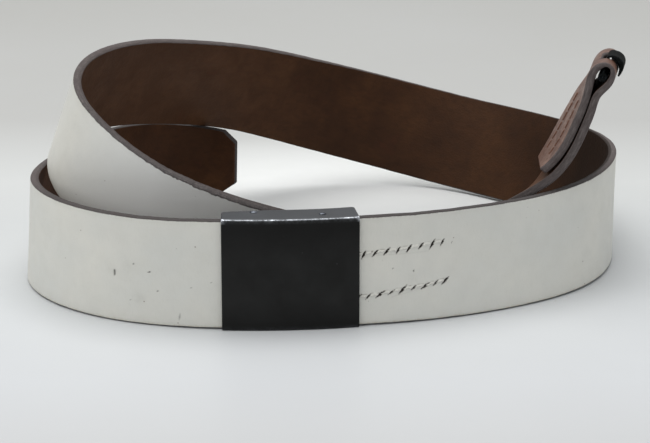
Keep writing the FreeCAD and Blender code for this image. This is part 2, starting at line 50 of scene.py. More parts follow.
# strap centreline: distance from the tail tip, x, y, z, lean in degrees
STATIONS = np.array([
    (0.00000, -0.04823, 0.07830, 0.02416, -1.94),
    (0.01200, -0.05939, 0.08257, 0.02466, -2.37),
    (0.02400, -0.07129, 0.08362, 0.02509, -2.35),
    (0.03599, -0.08297, 0.08111, 0.02539, -1.94),
    (0.04799, -0.09336, 0.07521, 0.02550, -1.30),
    (0.05999, -0.10184, 0.06675, 0.02542, -0.65),
    (0.07199, -0.10854, 0.05682, 0.02527, -0.15),
    (0.08398, -0.11406, 0.04617, 0.02517, 0.08),
    (0.09598, -0.11886, 0.03517, 0.02516, -0.06),
    (0.10798, -0.12327, 0.02401, 0.02515, -0.49),
    (0.11998, -0.12754, 0.01280, 0.02512, -1.10),
    (0.13423, -0.13241, -0.00059, 0.02506, -1.95),
    (0.14848, -0.13672, -0.01417, 0.02510, -2.75),
    (0.16273, -0.13991, -0.02805, 0.02523, -3.34),
    (0.17698, -0.14123, -0.04222, 0.02532, -3.52),
    (0.19122, -0.13998, -0.05639, 0.02538, -3.26),
    (0.20547, -0.13620, -0.07011, 0.02551, -2.70),
    (0.21972, -0.13020, -0.08302, 0.02564, -1.96),
    (0.23397, -0.12215, -0.09475, 0.02569, -1.12),
    (0.24822, -0.11223, -0.10495, 0.02566, -0.28),
    (0.26247, -0.10078, -0.11342, 0.02560, 0.45),
    (0.27672, -0.08818, -0.12004, 0.02557, 1.03),
    (0.29097, -0.07475, -0.12476, 0.02562, 1.36),
    (0.30522, -0.06083, -0.12776, 0.02575, 0.79),
    (0.31947, -0.04666, -0.12930, 0.02590, 0.56),
    (0.33372, -0.03242, -0.12966, 0.02590, 0.55),
    (0.34797, -0.01819, -0.12900, 0.02590, 0.58),
    (0.36221, -0.00404, -0.12741, 0.02590, 0.59),
    (0.37645, 0.00999, -0.12495, 0.02590, -0.03),
    (0.39068, 0.02388, -0.12189, 0.02587, -0.76),
    (0.40492, 0.03761, -0.11814, 0.02568, -1.52),
    (0.41917, 0.05103, -0.11336, 0.02558, -2.26),
    (0.43342, 0.06405, -0.10758, 0.02552, -2.94),
    (0.44767, 0.07665, -0.10093, 0.02545, -3.51),
    (0.46191, 0.08878, -0.09346, 0.02541, -3.94),
    (0.47616, 0.10030, -0.08508, 0.02550, -4.20),
    (0.49041, 0.11089, -0.07557, 0.02569, -4.25),
    (0.50466, 0.12011, -0.06472, 0.02587, -4.03),
    (0.51891, 0.12758, -0.05260, 0.02598, -3.49),
    (0.53316, 0.13331, -0.03957, 0.02599, -2.59),
    (0.54741, 0.13749, -0.02595, 0.02595, -1.32),
    (0.56166, 0.14019, -0.01197, 0.02592, 0.36),
    (0.57590, 0.14128, 0.00223, 0.02583, 2.49),
    (0.59015, 0.14049, 0.01644, 0.02560, 5.17),
    (0.60439, 0.13763, 0.03038, 0.02531, 8.35),
    (0.61864, 0.13298, 0.04383, 0.02504, 11.73),
    (0.63289, 0.12692, 0.05672, 0.02472, 14.97),
    (0.64713, 0.11976, 0.06903, 0.02442, 17.75),
    (0.66138, 0.11164, 0.08073, 0.02422, 19.80),
    (0.67563, 0.10264, 0.09177, 0.02417, 20.83),
    (0.68988, 0.09280, 0.10207, 0.02431, 20.70),
    (0.70413, 0.08199, 0.11132, 0.02484, 19.47),
    (0.71837, 0.07009, 0.11901, 0.02612, 17.20),
    (0.73262, 0.05717, 0.12457, 0.02830, 13.98),
    (0.74687, 0.04361, 0.12771, 0.03125, 9.94),
    (0.76112, 0.02986, 0.12844, 0.03482, 5.24),
    (0.77536, 0.01630, 0.12676, 0.03882, 0.06),
    (0.78961, 0.00325, 0.12302, 0.04311, -5.31),
    (0.80386, -0.00919, 0.11770, 0.04756, -10.65),
    (0.81811, -0.02100, 0.11116, 0.05210, -15.78),
    (0.83236, -0.03214, 0.10351, 0.05659, -20.17),
    (0.84660, -0.04257, 0.09478, 0.06078, -23.22),
    (0.86081, -0.05226, 0.08505, 0.06444, -24.56),
    (0.87498, -0.06157, 0.07489, 0.06772, -25.54),
    (0.88914, -0.07051, 0.06430, 0.07064, -25.77),
    (0.90330, -0.07927, 0.05351, 0.07334, -25.67),
    (0.91740, -0.08788, 0.04263, 0.07584, -25.38),
    (0.93141, -0.09625, 0.03159, 0.07796, -25.17),
    (0.94539, -0.10424, 0.02022, 0.07947, -25.02),
    (0.95944, -0.11197, 0.00853, 0.08034, -25.60),
    (0.97357, -0.11873, -0.00386, 0.08023, -25.41),
    (0.98774, -0.12366, -0.01705, 0.07878, -23.33),
    (1.00195, -0.12598, -0.03071, 0.07577, -19.35),
    (1.01619, -0.12490, -0.04409, 0.07116, -13.73),
    (1.03044, -0.11995, -0.05597, 0.06521, -7.09),
    (1.04469, -0.11164, -0.06538, 0.05856, -0.22),
    (1.05894, -0.10127, -0.07244, 0.05184, 6.74),
    (1.07319, -0.08955, -0.07732, 0.04541, 14.00),
    (1.08744, -0.07676, -0.07973, 0.03966, 21.84),
    (1.10169, -0.06332, -0.07955, 0.03502, 30.01),
    (1.11593, -0.04965, -0.07742, 0.03163, 38.45),
    (1.13018, -0.03598, -0.07422, 0.02924, 46.82),
    (1.14444, -0.02230, -0.07069, 0.02738, 53.94),
    (1.15869, -0.00855, -0.06738, 0.02564, 59.16),
    (1.16869, 0.00117, -0.06541, 0.02433, 62.83),
    (1.17868, 0.01093, -0.06369, 0.02303, 67.74),
    (1.18868, 0.02074, -0.06214, 0.02186, 74.25),
    (1.19868, 0.03061, -0.06070, 0.02115, 80.59),
    (1.20868, 0.04051, -0.05935, 0.02134, 84.36),
    (1.21869, 0.05034, -0.05814, 0.02271, 83.57),
    (1.22872, 0.05998, -0.05712, 0.02528, 79.86),
    (1.23877, 0.06937, -0.05630, 0.02876, 75.79),
    (1.24882, 0.07851, -0.05567, 0.03288, 73.04),
    (1.25884, 0.08736, -0.05526, 0.03757, 72.27),
    (1.26885, 0.09571, -0.05493, 0.04307, 73.27),
    (1.27885, 0.10316, -0.05445, 0.04970, 75.71),
    (1.28884, 0.10936, -0.05381, 0.05749, 78.81),
    (1.29880, 0.11442, -0.05329, 0.06605, 81.51),
    (1.30872, 0.11878, -0.05295, 0.07494, 83.11),
    (1.31858, 0.12291, -0.05277, 0.08390, 83.44),
    (1.32847, 0.12725, -0.05274, 0.09278, 83.05),
    (1.33841, 0.13234, -0.05299, 0.10131, 82.71)
])
STRAP_LENGTH = STATIONS[-1, 0]

FOLD = np.array([(-24.0, 2.30, 4.00), (-17.0, 2.24, 3.90), (-12.0, 2.15, 3.75), (-9.0, 2.35, 3.60),
                 (-6.4, 2.95, 3.45), (-3.4, 3.98, 3.25), (0.0, 4.55, 3.10), (3.0, 4.12, 2.60),
                 (5.2, 2.80, 2.05), (6.22, 1.35, 1.80), (6.42, 0.0, 1.85),
                 (6.12, -1.32, 2.05), (5.0, -2.67, 2.50), (2.86, -3.86, 3.15), (0.0, -4.27, 3.60),
                 (-3.4, -3.76, 3.70), (-6.4, -2.84, 3.70), (-9.0, -2.32, 3.70), (-12.0, -2.12, 3.70),
                 (-17.0, -2.10, 3.70), (-24.0, -2.14, 3.70), (-32.0, -2.26, 3.70), (-40.0, -2.48, 3.70),
                 (-48.0, -2.78, 3.70), (-55.0, -3.10, 3.70)]) * MM

UPPER_ROW = np.array([(377.4, 7.1), (382.7, 7.5), (388.0, 7.9), (393.2, 8.3), (398.5, 8.5),
                      (403.7, 9.1), (409.4, 9.8), (414.9, 10.1), (419.9, 10.5)]) * MM
LOWER_ROW = np.array([(379.6, -12.7), (384.9, -12.2), (390.4, -11.6), (395.8, -10.8), (400.9, -10.1),
                      (406.2, -9.5), (411.6, -9.1), (416.4, -8.4), (421.3, -7.6)]) * MM
FOLD_ROW_T = np.array([-16.0, -21.2, -26.4, -31.6, -36.8, -42.0, -47.2]) * MM
FOLD_ROW_V = 10.5 * MM

PLATE_HALF, PLATE_BULGE, PLATE_HEIGHT, PLATE_SHEET = 31 * MM, 2.25 * MM, 51.8 * MM, 0.8 * MM
PLATE_YAW = math.radians(4.649)
PLATE_X, PLATE_Y = (-15.3345 - 0.822) * MM, (-90.0584 - 40.369) * MM
PLATE_BEND_R = 1.1 * MM
PIN_R, PIN_HEAD_R, PIN_HEAD_H = 1.15 * MM, 1.70 * MM, 0.65 * MM
TAB_PIN, CATCH_PIN = (14.8 * MM, 6.60 * MM), (-15.85 * MM, 11.45 * MM)
TAB_PLY, TAB_HALF, TAB_END = 0.9 * MM, 12.8 * MM, 424.0 * MM

HOOK_SHEET, HOOK_BAR_HALF, HOOK_TONGUE_HALF = 1.2 * MM, 23.5 * MM, 10.0 * MM
HOOK_PATH = np.array([(-1.0, 1.2), (0.3, 0.55), (1.6, -0.1), (2.9, -0.75), (4.2, -1.3),
                      (5.6, -1.72), (6.9, -1.95), (7.9, -1.75), (8.45, -1.0), (8.62, 0.2), (8.5, 1.6),
                      (7.95, 3.05), (6.95, 4.5), (5.5, 5.75), (3.8, 6.5), (2.2, 6.85)]) * MM
HOOK_SHOULDER = 3.62 * MM     # t at which the bar ends and the tongue begins
HOOK_AXIS, HOOK_ROLL_R = (0.2 * MM, 0.45 * MM), 2.2 * MM
HOOK_SWELL, HOOK_SWELL_RUN = 1.6 * MM, 12.2 * MM
SLOT_HALF, SLOT_T, SLOT_H = 10.6 * MM, 3.6 * MM, 0.35 * MM     # slot for the tongue in the fold's crest

# ---------------------------------------------------------------------------
# maths
# ---------------------------------------------------------------------------


class Cubic:
    """natural cubic spline through rows of points"""

    def __init__(self, x, y):
        x, y = np.asarray(x, float), np.asarray(y, float)
        if y.ndim == 1:
            y = y[:, None]
        n = len(x)
        h = np.diff(x)
        a = np.zeros((n, n))
        r = np.zeros((n, y.shape[1]))
        a[0, 0] = a[-1, -1] = 1
        for i in range(1, n - 1):
            a[i, i - 1], a[i, i], a[i, i + 1] = h[i - 1], 2 * (h[i - 1] + h[i]), h[i]
            r[i] = 6 * ((y[i + 1] - y[i]) / h[i] - (y[i] - y[i - 1]) / h[i - 1])
        self.x, self.y, self.h, self.m = x, y, h, np.linalg.solve(a, r)

    def __call__(self, q, d=0):
        q = np.atleast_1d(np.asarray(q, float))
        i = np.clip(np.searchsorted(self.x, q, side="right") - 1, 0, len(self.h) - 1)
        h = self.h[i][:, None]
        a = (self.x[i + 1] - q)[:, None]
        b = (q - self.x[i])[:, None]
        m0, m1, y0, y1 = self.m[i], self.m[i + 1], self.y[i], self.y[i + 1]
        if d == 0:
            return m0 * a ** 3 / (6 * h) + m1 * b ** 3 / (6 * h) + (y0 / h - m0 * h / 6) * a + (y1 / h - m1 * h / 6) * b
        return -m0 * a ** 2 / (2 * h) + m1 * b ** 2 / (2 * h) - (y0 / h - m0 * h / 6) + (y1 / h - m1 * h / 6)


CENTRE = Cubic(STATIONS[:, 0], STATIONS[:, 1:4])
LEAN = Cubic(STATIONS[:, 0], STATIONS[:, 4])


def unit(a):
    return a / np.maximum(np.linalg.norm(a, axis=-1, keepdims=True), 1e-12)


def frames(s):
    """centre, along, outward normal, width direction at strap stations s"""
    p, t = CENTRE(s), unit(CENTRE(s, 1))
    z = np.array([0, 0, 1.0])
    w0 = unit(z - t * t[:, 2:3])
    n0 = np.cross(t, w0)
    a = np.radians(LEAN(s))
    w = w0 * np.cos(a) + n0 * np.sin(a)
    return p, t, unit(np.cross(t, w)), w


def half_width(s):
    t = np.clip(s / TAPER_LENGTH, 0, 1)
    k = t * t * (3 - 2 * t) * 0.35 + t * 0.65
    hw = TAIL_WIDTH / 2 + (STRAP_WIDTH - TAIL_WIDTH) / 2 * k
    tip = TIP_WIDTH / 2 + (hw - TIP_WIDTH / 2) * np.clip(s / TIP_LENGTH, 0, 1)
    return np.where(s < TIP_LENGTH, tip, hw)


def fold_place(t, h):
    """points at (t, h) in the folded end, with the along and normal directions"""
    t, h = np.asarray(t, float), np.asarray(h, float)
    s = STRAP_LENGTH + np.minimum(t, 0)
    p, tt, n, w = frames(s)
    return p + n * (h - FOLD_OFFSET)[:, None] + tt * np.maximum(t, 0)[:, None], tt, n, w


def chord(points):
    return np.concatenate([[0], np.cumsum(np.linalg.norm(np.diff(points[:, :2], axis=0), axis=1))])


def lattice(seed, shape):
    return np.random.default_rng(seed).uniform(-1, 1, shape)


def noise1(x, step, seed):
    """smooth value noise of one variable"""
    g = lattice(seed, 4096)
    q = np.asarray(x) / step + 1000.37
    i = np.floor(q).astype(int)
    f = q - i
    f = f * f * (3 - 2 * f)
    return g[i % 4096] * (1 - f) + g[(i + 1) % 4096] * f


def noise2(x, y, step, seed):
    """smooth value noise of two variables"""
    g = lattice(seed, (256, 256))
    qx, qy = np.asarray(x) / step + 531.7, np.asarray(y) / step + 77.3
    ix, iy = np.floor(qx).astype(int), np.floor(qy).astype(int)
    fx, fy = qx - ix, qy - iy
    fx, fy = fx * fx * (3 - 2 * fx), fy * fy * (3 - 2 * fy)
    a = g[ix % 256, iy % 256] * (1 - fx) + g[(ix + 1) % 256, iy % 256] * fx
    b = g[ix % 256, (iy + 1) % 256] * (1 - fx) + g[(ix + 1) % 256, (iy + 1) % 256] * fx
    return a * (1 - fy) + b * fy


# ---------------------------------------------------------------------------
# mesh helpers
# ---------------------------------------------------------------------------


def make_mesh(name, verts, faces, materials, face_mat=None, attrs=None, smooth=True):
    me = bpy.data.meshes.new(name)
    me.from_pydata([tuple(map(float, v)) for v in verts], [], [tuple(map(int, f)) for f in faces])
    for m in materials:
        me.materials.append(m)
    if face_mat is not None:
        me.polygons.foreach_set("material_index", np.asarray(face_mat, dtype=np.int32))
    for key, val in (attrs or {}).items():
        val = np.asarray(val, dtype=np.float32)
        if val.ndim == 1:
            a = me.attributes.new(key, "FLOAT", "POINT")
            a.data.foreach_set("value", val)
        else:
            a = me.attributes.new(key, "FLOAT_VECTOR", "POINT")
            a.data.foreach_set("vector", val.reshape(-1))
    me.polygons.foreach_set("use_smooth", np.full(len(me.polygons), smooth))
    me.update()
    me.validate()
    ob = bpy.data.objects.new(name, me)
    bpy.context.scene.collection.objects.link(ob)
    return ob


def tube_faces(nrow, nring, base=0, caps=True):
    """quads of a closed tube of rows of rings, with n-gon end caps"""
    i = np.arange(nrow - 1)[:, None]
    j = np.arange(nring)[None, :]
    jn = (j + 1) % nring
    q = np.stack([i * nring + j, i * nring + jn, (i + 1) * nring + jn, (i + 1) * nring + j], -1) + base
    faces = [tuple(f) for f in q.reshape(-1, 4)]
    if caps:
        faces.append(tuple(base + np.arange(nring)[::-1]))
        faces.append(tuple(base + (nrow - 1) * nring + np.arange(nring)))
    return faces


def fix_normals(ob):
    import bmesh
    bm = bmesh.new()
    bm.from_mesh(ob.data)
    bmesh.ops.recalc_face_normals(bm, faces=bm.faces)
    bm.to_mesh(ob.data)
    bm.free()


def rect_ring(hw, ht, r, ncorner=4, nw=2, nt=1):
    """outline of a rounded rectangle, counter-clockwise from the +h side, in (w, h)"""
    pts = []
    for cx, cy, a0 in ((hw - r, ht - r, 0), (-hw + r, ht - r, 90), (-hw + r, -ht + r, 180), (hw - r, -ht + r, 270)):
        for k in range(ncorner + 1):
            a = math.radians(a0 + 90 * k / ncorner)
            pts.append((cx + r * math.cos(a), cy + r * math.sin(a)))
    return np.array(pts)


# ---------------------------------------------------------------------------
# node materials
# ---------------------------------------------------------------------------


class Mat:
    def __init__(self, name):
        self.m = bpy.data.materials.new(name)
        self.m.use_nodes = True
        self.t = self.m.node_tree
        self.n = self.t.nodes
        self.bsdf = self.n["Principled BSDF"]
        self.x = -300

    def link(self, a, b):
        self.t.links.new(a, b)

    def node(self, kind, **kw):
        n = self.n.new(kind)
        self.x -= 30
        n.location = (self.x, 0)
        for k, v in kw.items():
            setattr(n, k, v)
        return n

    def put(self, sock, val):
        if hasattr(val, "is_output") or isinstance(val, bpy.types.NodeSocket):
            self.link(val, sock)
        else:
            sock.default_value = val

    def attr(self, name):
        return self.node("ShaderNodeAttribute", attribute_type="GEOMETRY", attribute_name=name)

    def coords(self):
        return self.node("ShaderNodeTexCoord").outputs["Object"]

    def mapping(self, vec, scale):
        n = self.node("ShaderNodeMapping")
        self.link(vec, n.inputs["Vector"])
        n.inputs["Scale"].default_value = scale
        return n.outputs["Vector"]

    def noise(self, vec, scale, detail=3, rough=0.55, dist=0.0):
        n = self.node("ShaderNodeTexNoise")
        self.link(vec, n.inputs["Vector"])
        n.inputs["Scale"].default_value = scale
        n.inputs["Detail"].default_value = detail
        n.inputs["Roughness"].default_value = rough
        n.inputs["Distortion"].default_value = dist
        return n.outputs["Fac"]

    def voronoi(self, vec, scale, feature="F1", rand=1.0):
        n = self.node("ShaderNodeTexVoronoi", feature=feature)
        self.link(vec, n.inputs["Vector"])
        n.inputs["Scale"].default_value = scale
        n.inputs["Randomness"].default_value = rand
        return n.outputs["Distance"]

    def ramp(self, fac, stops, interp="LINEAR"):
        n = self.node("ShaderNodeValToRGB")
        self.link(fac, n.inputs["Fac"])
        cr = n.color_ramp
        cr.interpolation = interp
        while len(cr.elements) < len(stops):
            cr.elements.new(0.5)
        for e, (p, c) in zip(cr.elements, stops):
            e.position = p
            e.color = (c, c, c, 1) if not hasattr(c, "__len__") else (*c, 1)
        return n.outputs["Color"]

    def mix(self, fac, a, b, mode="MIX"):
        n = self.node("ShaderNodeMix", data_type="RGBA", blend_type=mode)
        self.put(n.inputs[0], fac)
        self.put(n.inputs[6], a if not hasattr(a, "__len__") else (*a, 1) if len(a) == 3 else a)
        self.put(n.inputs[7], b if not hasattr(b, "__len__") else (*b, 1) if len(b) == 3 else b)
        return n.outputs[2]

    def math(self, op, a, b=0.0, clamp=False):
        n = self.node("ShaderNodeMath", operation=op, use_clamp=clamp)
        self.put(n.inputs[0], a)
        self.put(n.inputs[1], b)
        return n.outputs[0]

    def remap(self, v, a0, a1, b0=0.0, b1=1.0):
        n = self.node("ShaderNodeMapRange", clamp=True)
        self.put(n.inputs["Value"], v)
        for k, x in (("From Min", a0), ("From Max", a1), ("To Min", b0), ("To Max", b1)):
            n.inputs[k].default_value = x
        return n.outputs["Result"]

    def bump(self, height, strength, distance, normal=None):
        n = self.node("ShaderNodeBump")
        self.put(n.inputs["Height"], height)
        n.inputs["Strength"].default_value = strength
        n.inputs["Distance"].default_value = distance
        if normal is not None:
            self.link(normal, n.inputs["Normal"])
        return n.outputs["Normal"]

    def out(self, color=None, rough=None, normal=None, metallic=None, coat=None, coat_rough=None, spec=None, sheen=None):
        b = self.bsdf.inputs
        for key, val in (("Base Color", color), ("Roughness", rough), ("Normal", normal), ("Metallic", metallic),
                         ("Coat Weight", coat), ("Coat Roughness", coat_rough), ("Specular IOR Level", spec),
                         ("Sheen Weight", sheen)):
            if val is None:
                continue
            if hasattr(val, "__len__") and not isinstance(val, bpy.types.NodeSocket):
                val = (*val, 1)
            self.put(b[key], val)
        return self.m


def mat_paint():
    """off-white flexible paint over leather: worn at the edges and in the chips, with a painted glint along the lower
    rim and painted shade in the stitch slits
    """
    m = Mat("white_paint")
    sv = m.attr("sv").outputs["Vector"]
    bare_and_shade = m.attr("bare_and_shade").outputs["Fac"]
    dirt = m.attr("dirt").outputs["Fac"]
    edge = m.attr("edge").outputs["Fac"]
    big = m.noise(sv, 22, 3, 0.6)
    mid = m.noise(sv, 130, 4, 0.6)
    fine = m.noise(m.mapping(sv, (1.0, 0.18, 1)), 1500, 2, 0.5)
    base = m.mix(m.remap(big, 0.35, 0.65), (0.600, 0.602, 0.566), (0.645, 0.636, 0.584))
    base = m.mix(m.remap(mid, 0.40, 0.75, 0, 0.35), base, (0.560, 0.555, 0.510))
    base = m.mix(m.remap(fine, 0.55, 0.8, 0, 0.16), base, (0.46, 0.45, 0.41))
    # paler paint on the inner turn, from s ≈ 1.03 m onward
    sp3 = m.node("ShaderNodeSeparateXYZ")
    m.link(sv, sp3.inputs[0])
    paler_inner_turn = m.math("MULTIPLY", m.remap(sp3.outputs["X"], 1.028, 1.078, 0, 1), 0.95)
    base = m.mix(paler_inner_turn, base, (0.83, 0.84, 0.82))
    # grime held in from the edges
    base = m.mix(m.math("MULTIPLY", dirt, m.remap(mid, 0.3, 0.7, 0.45, 1.0)), base, (0.20, 0.18, 0.145))
    # specks
    sp = m.voronoi(sv, 260)
    pick = m.noise(sv, 95, 1, 0.5)
    speck = m.math("MULTIPLY", m.remap(sp, 0.06, 0.11, 1, 0), m.remap(pick, 0.62, 0.66, 0, 0.75))
    base = m.mix(speck, base, (0.16, 0.12, 0.08))
    # worn rim: the leather shows through in small chips along the upper edge; along the lower edge the chips are cream,
    # a painted glint on the lower rim
    rag = m.noise(sv, 900, 3, 0.6)
    rim = m.math("MULTIPLY", m.remap(edge, 0.0, 0.0011, 1, 0), m.remap(rag, 0.42, 0.58))
    upper = m.remap(sp3.outputs["Y"], -0.002, 0.002, 0, 1)
    base = m.mix(m.math("MULTIPLY", rim, 0.8), base, m.mix(upper, (0.50, 0.46, 0.35), (0.19, 0.165, 0.15)))
    # near black where the leather shows in chips and nicks, and painted shade in the stitch slits
    base = m.mix(bare_and_shade, base, (0.024, 0.017, 0.012))
    rough = m.remap(mid, 0.3, 0.75, 0.46, 0.60)
    grain = m.voronoi(sv, 1100)
    hgt = m.math("ADD", m.math("MULTIPLY", grain, 0.35), m.math("MULTIPLY", mid, 0.9))
    nrm = m.bump(hgt, 0.16, 0.0004)
    return m.out(base, rough, nrm, spec=0.38)


def mat_inner():
    """unpainted flesh side: dark brown, mottled, slightly polished where it rubs; with painted shade and painted light
    along the strap
    """
    m = Mat("inner_leather")
    sv = m.attr("sv").outputs["Vector"]
    c1 = m.noise(sv, 16, 4, 0.62, 0.4)
    c2 = m.noise(sv, 70, 5, 0.65, 0.6)
    c3 = m.noise(m.mapping(sv, (0.5, 1.0, 1)), 420, 4, 0.6)
    col = m.ramp(c1, [(0.30, (0.0400, 0.0170, 0.0080)), (0.50, (0.0680, 0.0285, 0.0125)), (0.70, (0.1000, 0.0430, 0.0180))])
    col = m.mix(m.remap(c2, 0.35, 0.7, 0, 0.55), col, (0.034, 0.0165, 0.0105))
    col = m.mix(m.remap(c2, 0.62, 0.78, 0, 0.5), col, (0.095, 0.030, 0.016))
    col = m.mix(m.remap(c3, 0.45, 0.75, 0, 0.35), col, (0.026, 0.014, 0.008))
    sx = m.node("ShaderNodeSeparateXYZ")
    m.link(sv, sx.inputs[0])
    # painted shade: darker along s ≈ 0.48–0.85, most for s 0.54–0.62
    painted_shade = m.ramp(m.remap(sx.outputs["X"], 0.48, 0.98), [(0.00, 0.0), (0.12, 0.88), (0.28, 0.88), (0.36, 0.42),
                                                         (0.56, 0.28), (0.74, 0.0)])
    col = m.mix(painted_shade, col, (0.010, 0.0058, 0.0036))
    # painted light: lighter brown from s ≈ 0.80 onward
    lit = m.math("MULTIPLY", m.remap(sx.outputs["X"], 0.80, 0.90, 0, 1), 0.30)
    col = m.mix(lit, col, (0.105, 0.047, 0.021))
    rough = m.remap(c2, 0.3, 0.7, 0.50, 0.66)
    v = m.voronoi(sv, 900)
    h = m.math("ADD", m.math("MULTIPLY", v, 0.5), c3)
    return m.out(col, rough, m.bump(h, 0.35, 0.0005), spec=0.10)


def mat_edge():
    """cut and burnished edge: mauve grey with streaks along the strap"""
    m = Mat("cut_edge")
    sv = m.attr("sv").outputs["Vector"]
    a = m.noise(m.mapping(sv, (1.0, 6.0, 6.0)), 220, 4, 0.65)
    b = m.noise(sv, 45, 3, 0.6)
    c = m.noise(sv, 1400, 2, 0.6)
    col = m.ramp(a, [(0.30, (0.050, 0.041, 0.039)), (0.52, (0.100, 0.086, 0.083)), (0.74, (0.170, 0.152, 0.145))])
    col = m.mix(m.remap(b, 0.35, 0.7, 0, 0.6), col, (0.080, 0.062, 0.062))
    col = m.mix(m.remap(c, 0.55, 0.8, 0, 0.5), col, (0.040, 0.028, 0.024))
    # the inner arris is rounded; the inner side of the edge is darker, most for s 0.47–0.70
    sx = m.node("ShaderNodeSeparateXYZ")
    m.link(sv, sx.inputs[0])
    here = m.math("MULTIPLY", m.remap(sx.outputs["X"], 0.47, 0.54, 0, 1), m.remap(sx.outputs["X"], 0.70, 0.62, 0, 1))
    # dressed dark where the strap lies along the front, and at the tail
    front = m.math("MULTIPLY", m.remap(sx.outputs["X"], 0.195, 0.225, 0, 1), m.remap(sx.outputs["X"], 0.53, 0.50, 0, 1))
    tail = m.remap(sx.outputs["X"], 0.13, 0.10, 0, 1)
    col = m.mix(m.math("MULTIPLY", m.math("MAXIMUM", front, tail), 0.62), col, (0.034, 0.032, 0.032))
    desc = m.math("MULTIPLY", m.remap(sx.outputs["X"], 0.99, 1.05, 0, 1), m.remap(sx.outputs["X"], 1.30, 1.26, 0, 1))
    grit = m.math("MULTIPLY", m.remap(c, 0.44, 0.60, 0.35, 1.0), m.remap(sx.outputs["Z"], -0.0012, 0.0012, 0.35, 0.95))
    col = m.mix(m.math("MULTIPLY", desc, grit), col, (0.042, 0.040, 0.040))
    dark = m.math("MULTIPLY", m.remap(sx.outputs["Z"], -0.0003, -0.0009, 0, 1), m.math("ADD", m.math("MULTIPLY", here, 0.65), 0.25))
    col = m.mix(dark, col, (0.016, 0.010, 0.007))
    return m.out(col, m.remap(a, 0.3, 0.7, 0.5, 0.72), m.bump(m.math("ADD", a, c), 0.5, 0.0004), spec=0.15)


def mat_fold():
    """grain side left unpainted where the end is folded back: glossy tan brown"""
    m = Mat("folded_leather")
    sv = m.attr("sv").outputs["Vector"]
    a = m.noise(sv, 60, 4, 0.6, 0.5)
    b = m.noise(m.mapping(sv, (1, 0.4, 1)), 380, 4, 0.65)
    col = m.ramp(a, [(0.32, (0.078, 0.034, 0.021)), (0.52, (0.125, 0.060, 0.039)), (0.72, (0.205, 0.112, 0.074))])
    col = m.mix(m.remap(b, 0.45, 0.72, 0, 0.6), col, (0.070, 0.032, 0.022))
    return m.out(col, m.remap(b, 0.3, 0.7, 0.30, 0.48), m.bump(m.math("ADD", a, b), 0.5, 0.0006), spec=0.30)


def mat_tab():
    m = Mat("tab_leather")
    sv = m.attr("sv").outputs["Vector"]
    a = m.noise(sv, 70, 4, 0.6, 0.3)
    b = m.noise(sv, 600, 4, 0.6)
    col = m.ramp(a, [(0.3, (0.030, 0.014, 0.009)), (0.55, (0.060, 0.026, 0.015)), (0.75, (0.095, 0.045, 0.026))])
    col = m.mix(m.remap(b, 0.5, 0.75, 0, 0.5), col, (0.02, 0.011, 0.008))
    return m.out(col, m.remap(a, 0.3, 0.7, 0.42, 0.6), m.bump(m.math("ADD", m.voronoi(sv, 1000), b), 0.4, 0.0004), spec=0.4)


def mat_thread(name, col0, col1):
    m = Mat(name)
    co = m.coords()
    a = m.noise(co, 900, 4, 0.6)
    b = m.noise(co, 2600, 2, 0.5)
    col = m.mix(m.remap(a, 0.38, 0.68), col0, col1)
    col = m.mix(m.remap(b, 0.55, 0.8, 0, 0.4), col, tuple(c * 0.45 for c in col0))
    return m.out(col, 0.62, m.bump(m.math("ADD", a, b), 0.5, 0.0003), spec=0.3)


def mat_enamel():
    """stoved black enamel on sheet steel, rubbed through along the bends, with a painted highlight along the top bend
    """
    m = Mat("black_enamel")
    co = m.attr("sv").outputs["Vector"]
    wear_and_glint = m.attr("wear_and_glint").outputs["Fac"]
    a = m.noise(co, 55, 4, 0.6)
    b = m.noise(co, 900, 3, 0.6)
    s1 = m.noise(m.mapping(co, (1.0, 0.05, 1.0)), 1600, 3, 0.6)
    col = m.mix(m.remap(a, 0.35, 0.65), (0.0086, 0.0086, 0.0082), (0.0142, 0.0145, 0.0142))
    sp = m.voronoi(co, 330)
    pick = m.noise(co, 150, 1, 0.5)
    speck = m.math("MULTIPLY", m.remap(sp, 0.05, 0.10, 1, 0), m.remap(pick, 0.64, 0.68, 0, 0.7))
    col = m.mix(speck, col, (0.055, 0.058, 0.06))
    sx = m.node("ShaderNodeSeparateXYZ")
    m.link(co, sx.inputs[0])
    # the front is deepest black along its top and foot
    away = m.math("ABSOLUTE", m.math("SUBTRACT", sx.outputs["Y"], 0.0235))
    col = m.mix(m.remap(away, 0.009, 0.023, 0, 0.75), col, (0.0040, 0.0040, 0.0038))
    # the top flange is dusty and dulled
    dust = m.math("MULTIPLY", m.remap(sx.outputs["Y"], 0.0511, 0.0516, 0, 1), m.remap(a, 0.25, 0.7, 0.55, 1.0))
    col = m.mix(dust, col, (0.052, 0.055, 0.060))
    # steel shows where the enamel is rubbed through, and a painted highlight rides along the top bend and its corners
    rub_and_glint = m.math("MULTIPLY", wear_and_glint, m.remap(b, 0.36, 0.62, 0.25, 1.0))
    col = m.mix(rub_and_glint, col, (0.62, 0.65, 0.70))
    rough = m.math("ADD", m.remap(a, 0.3, 0.7, 0.30, 0.42), m.math("MULTIPLY", rub_and_glint, -0.10))
    h = m.math("ADD", m.math("MULTIPLY", b, 0.6), m.math("MULTIPLY", s1, 0.25))
    return m.out(col, rough, m.bump(h, 0.12, 0.0003), metallic=m.math("MULTIPLY", rub_and_glint, 0.85), spec=0.14)


def mat_blued(name="blued_steel"):
    m = Mat(name)
    co = m.coords()
    a = m.noise(co, 300, 4, 0.6)
    b = m.noise(co, 1800, 3, 0.6)
    col = m.mix(m.remap(a, 0.35, 0.65), (0.060, 0.066, 0.080), (0.180, 0.195, 0.225))
    return m.out(col, m.remap(b, 0.3, 0.7, 0.22, 0.36), m.bump(b, 0.2, 0.0002), metallic=0.85)


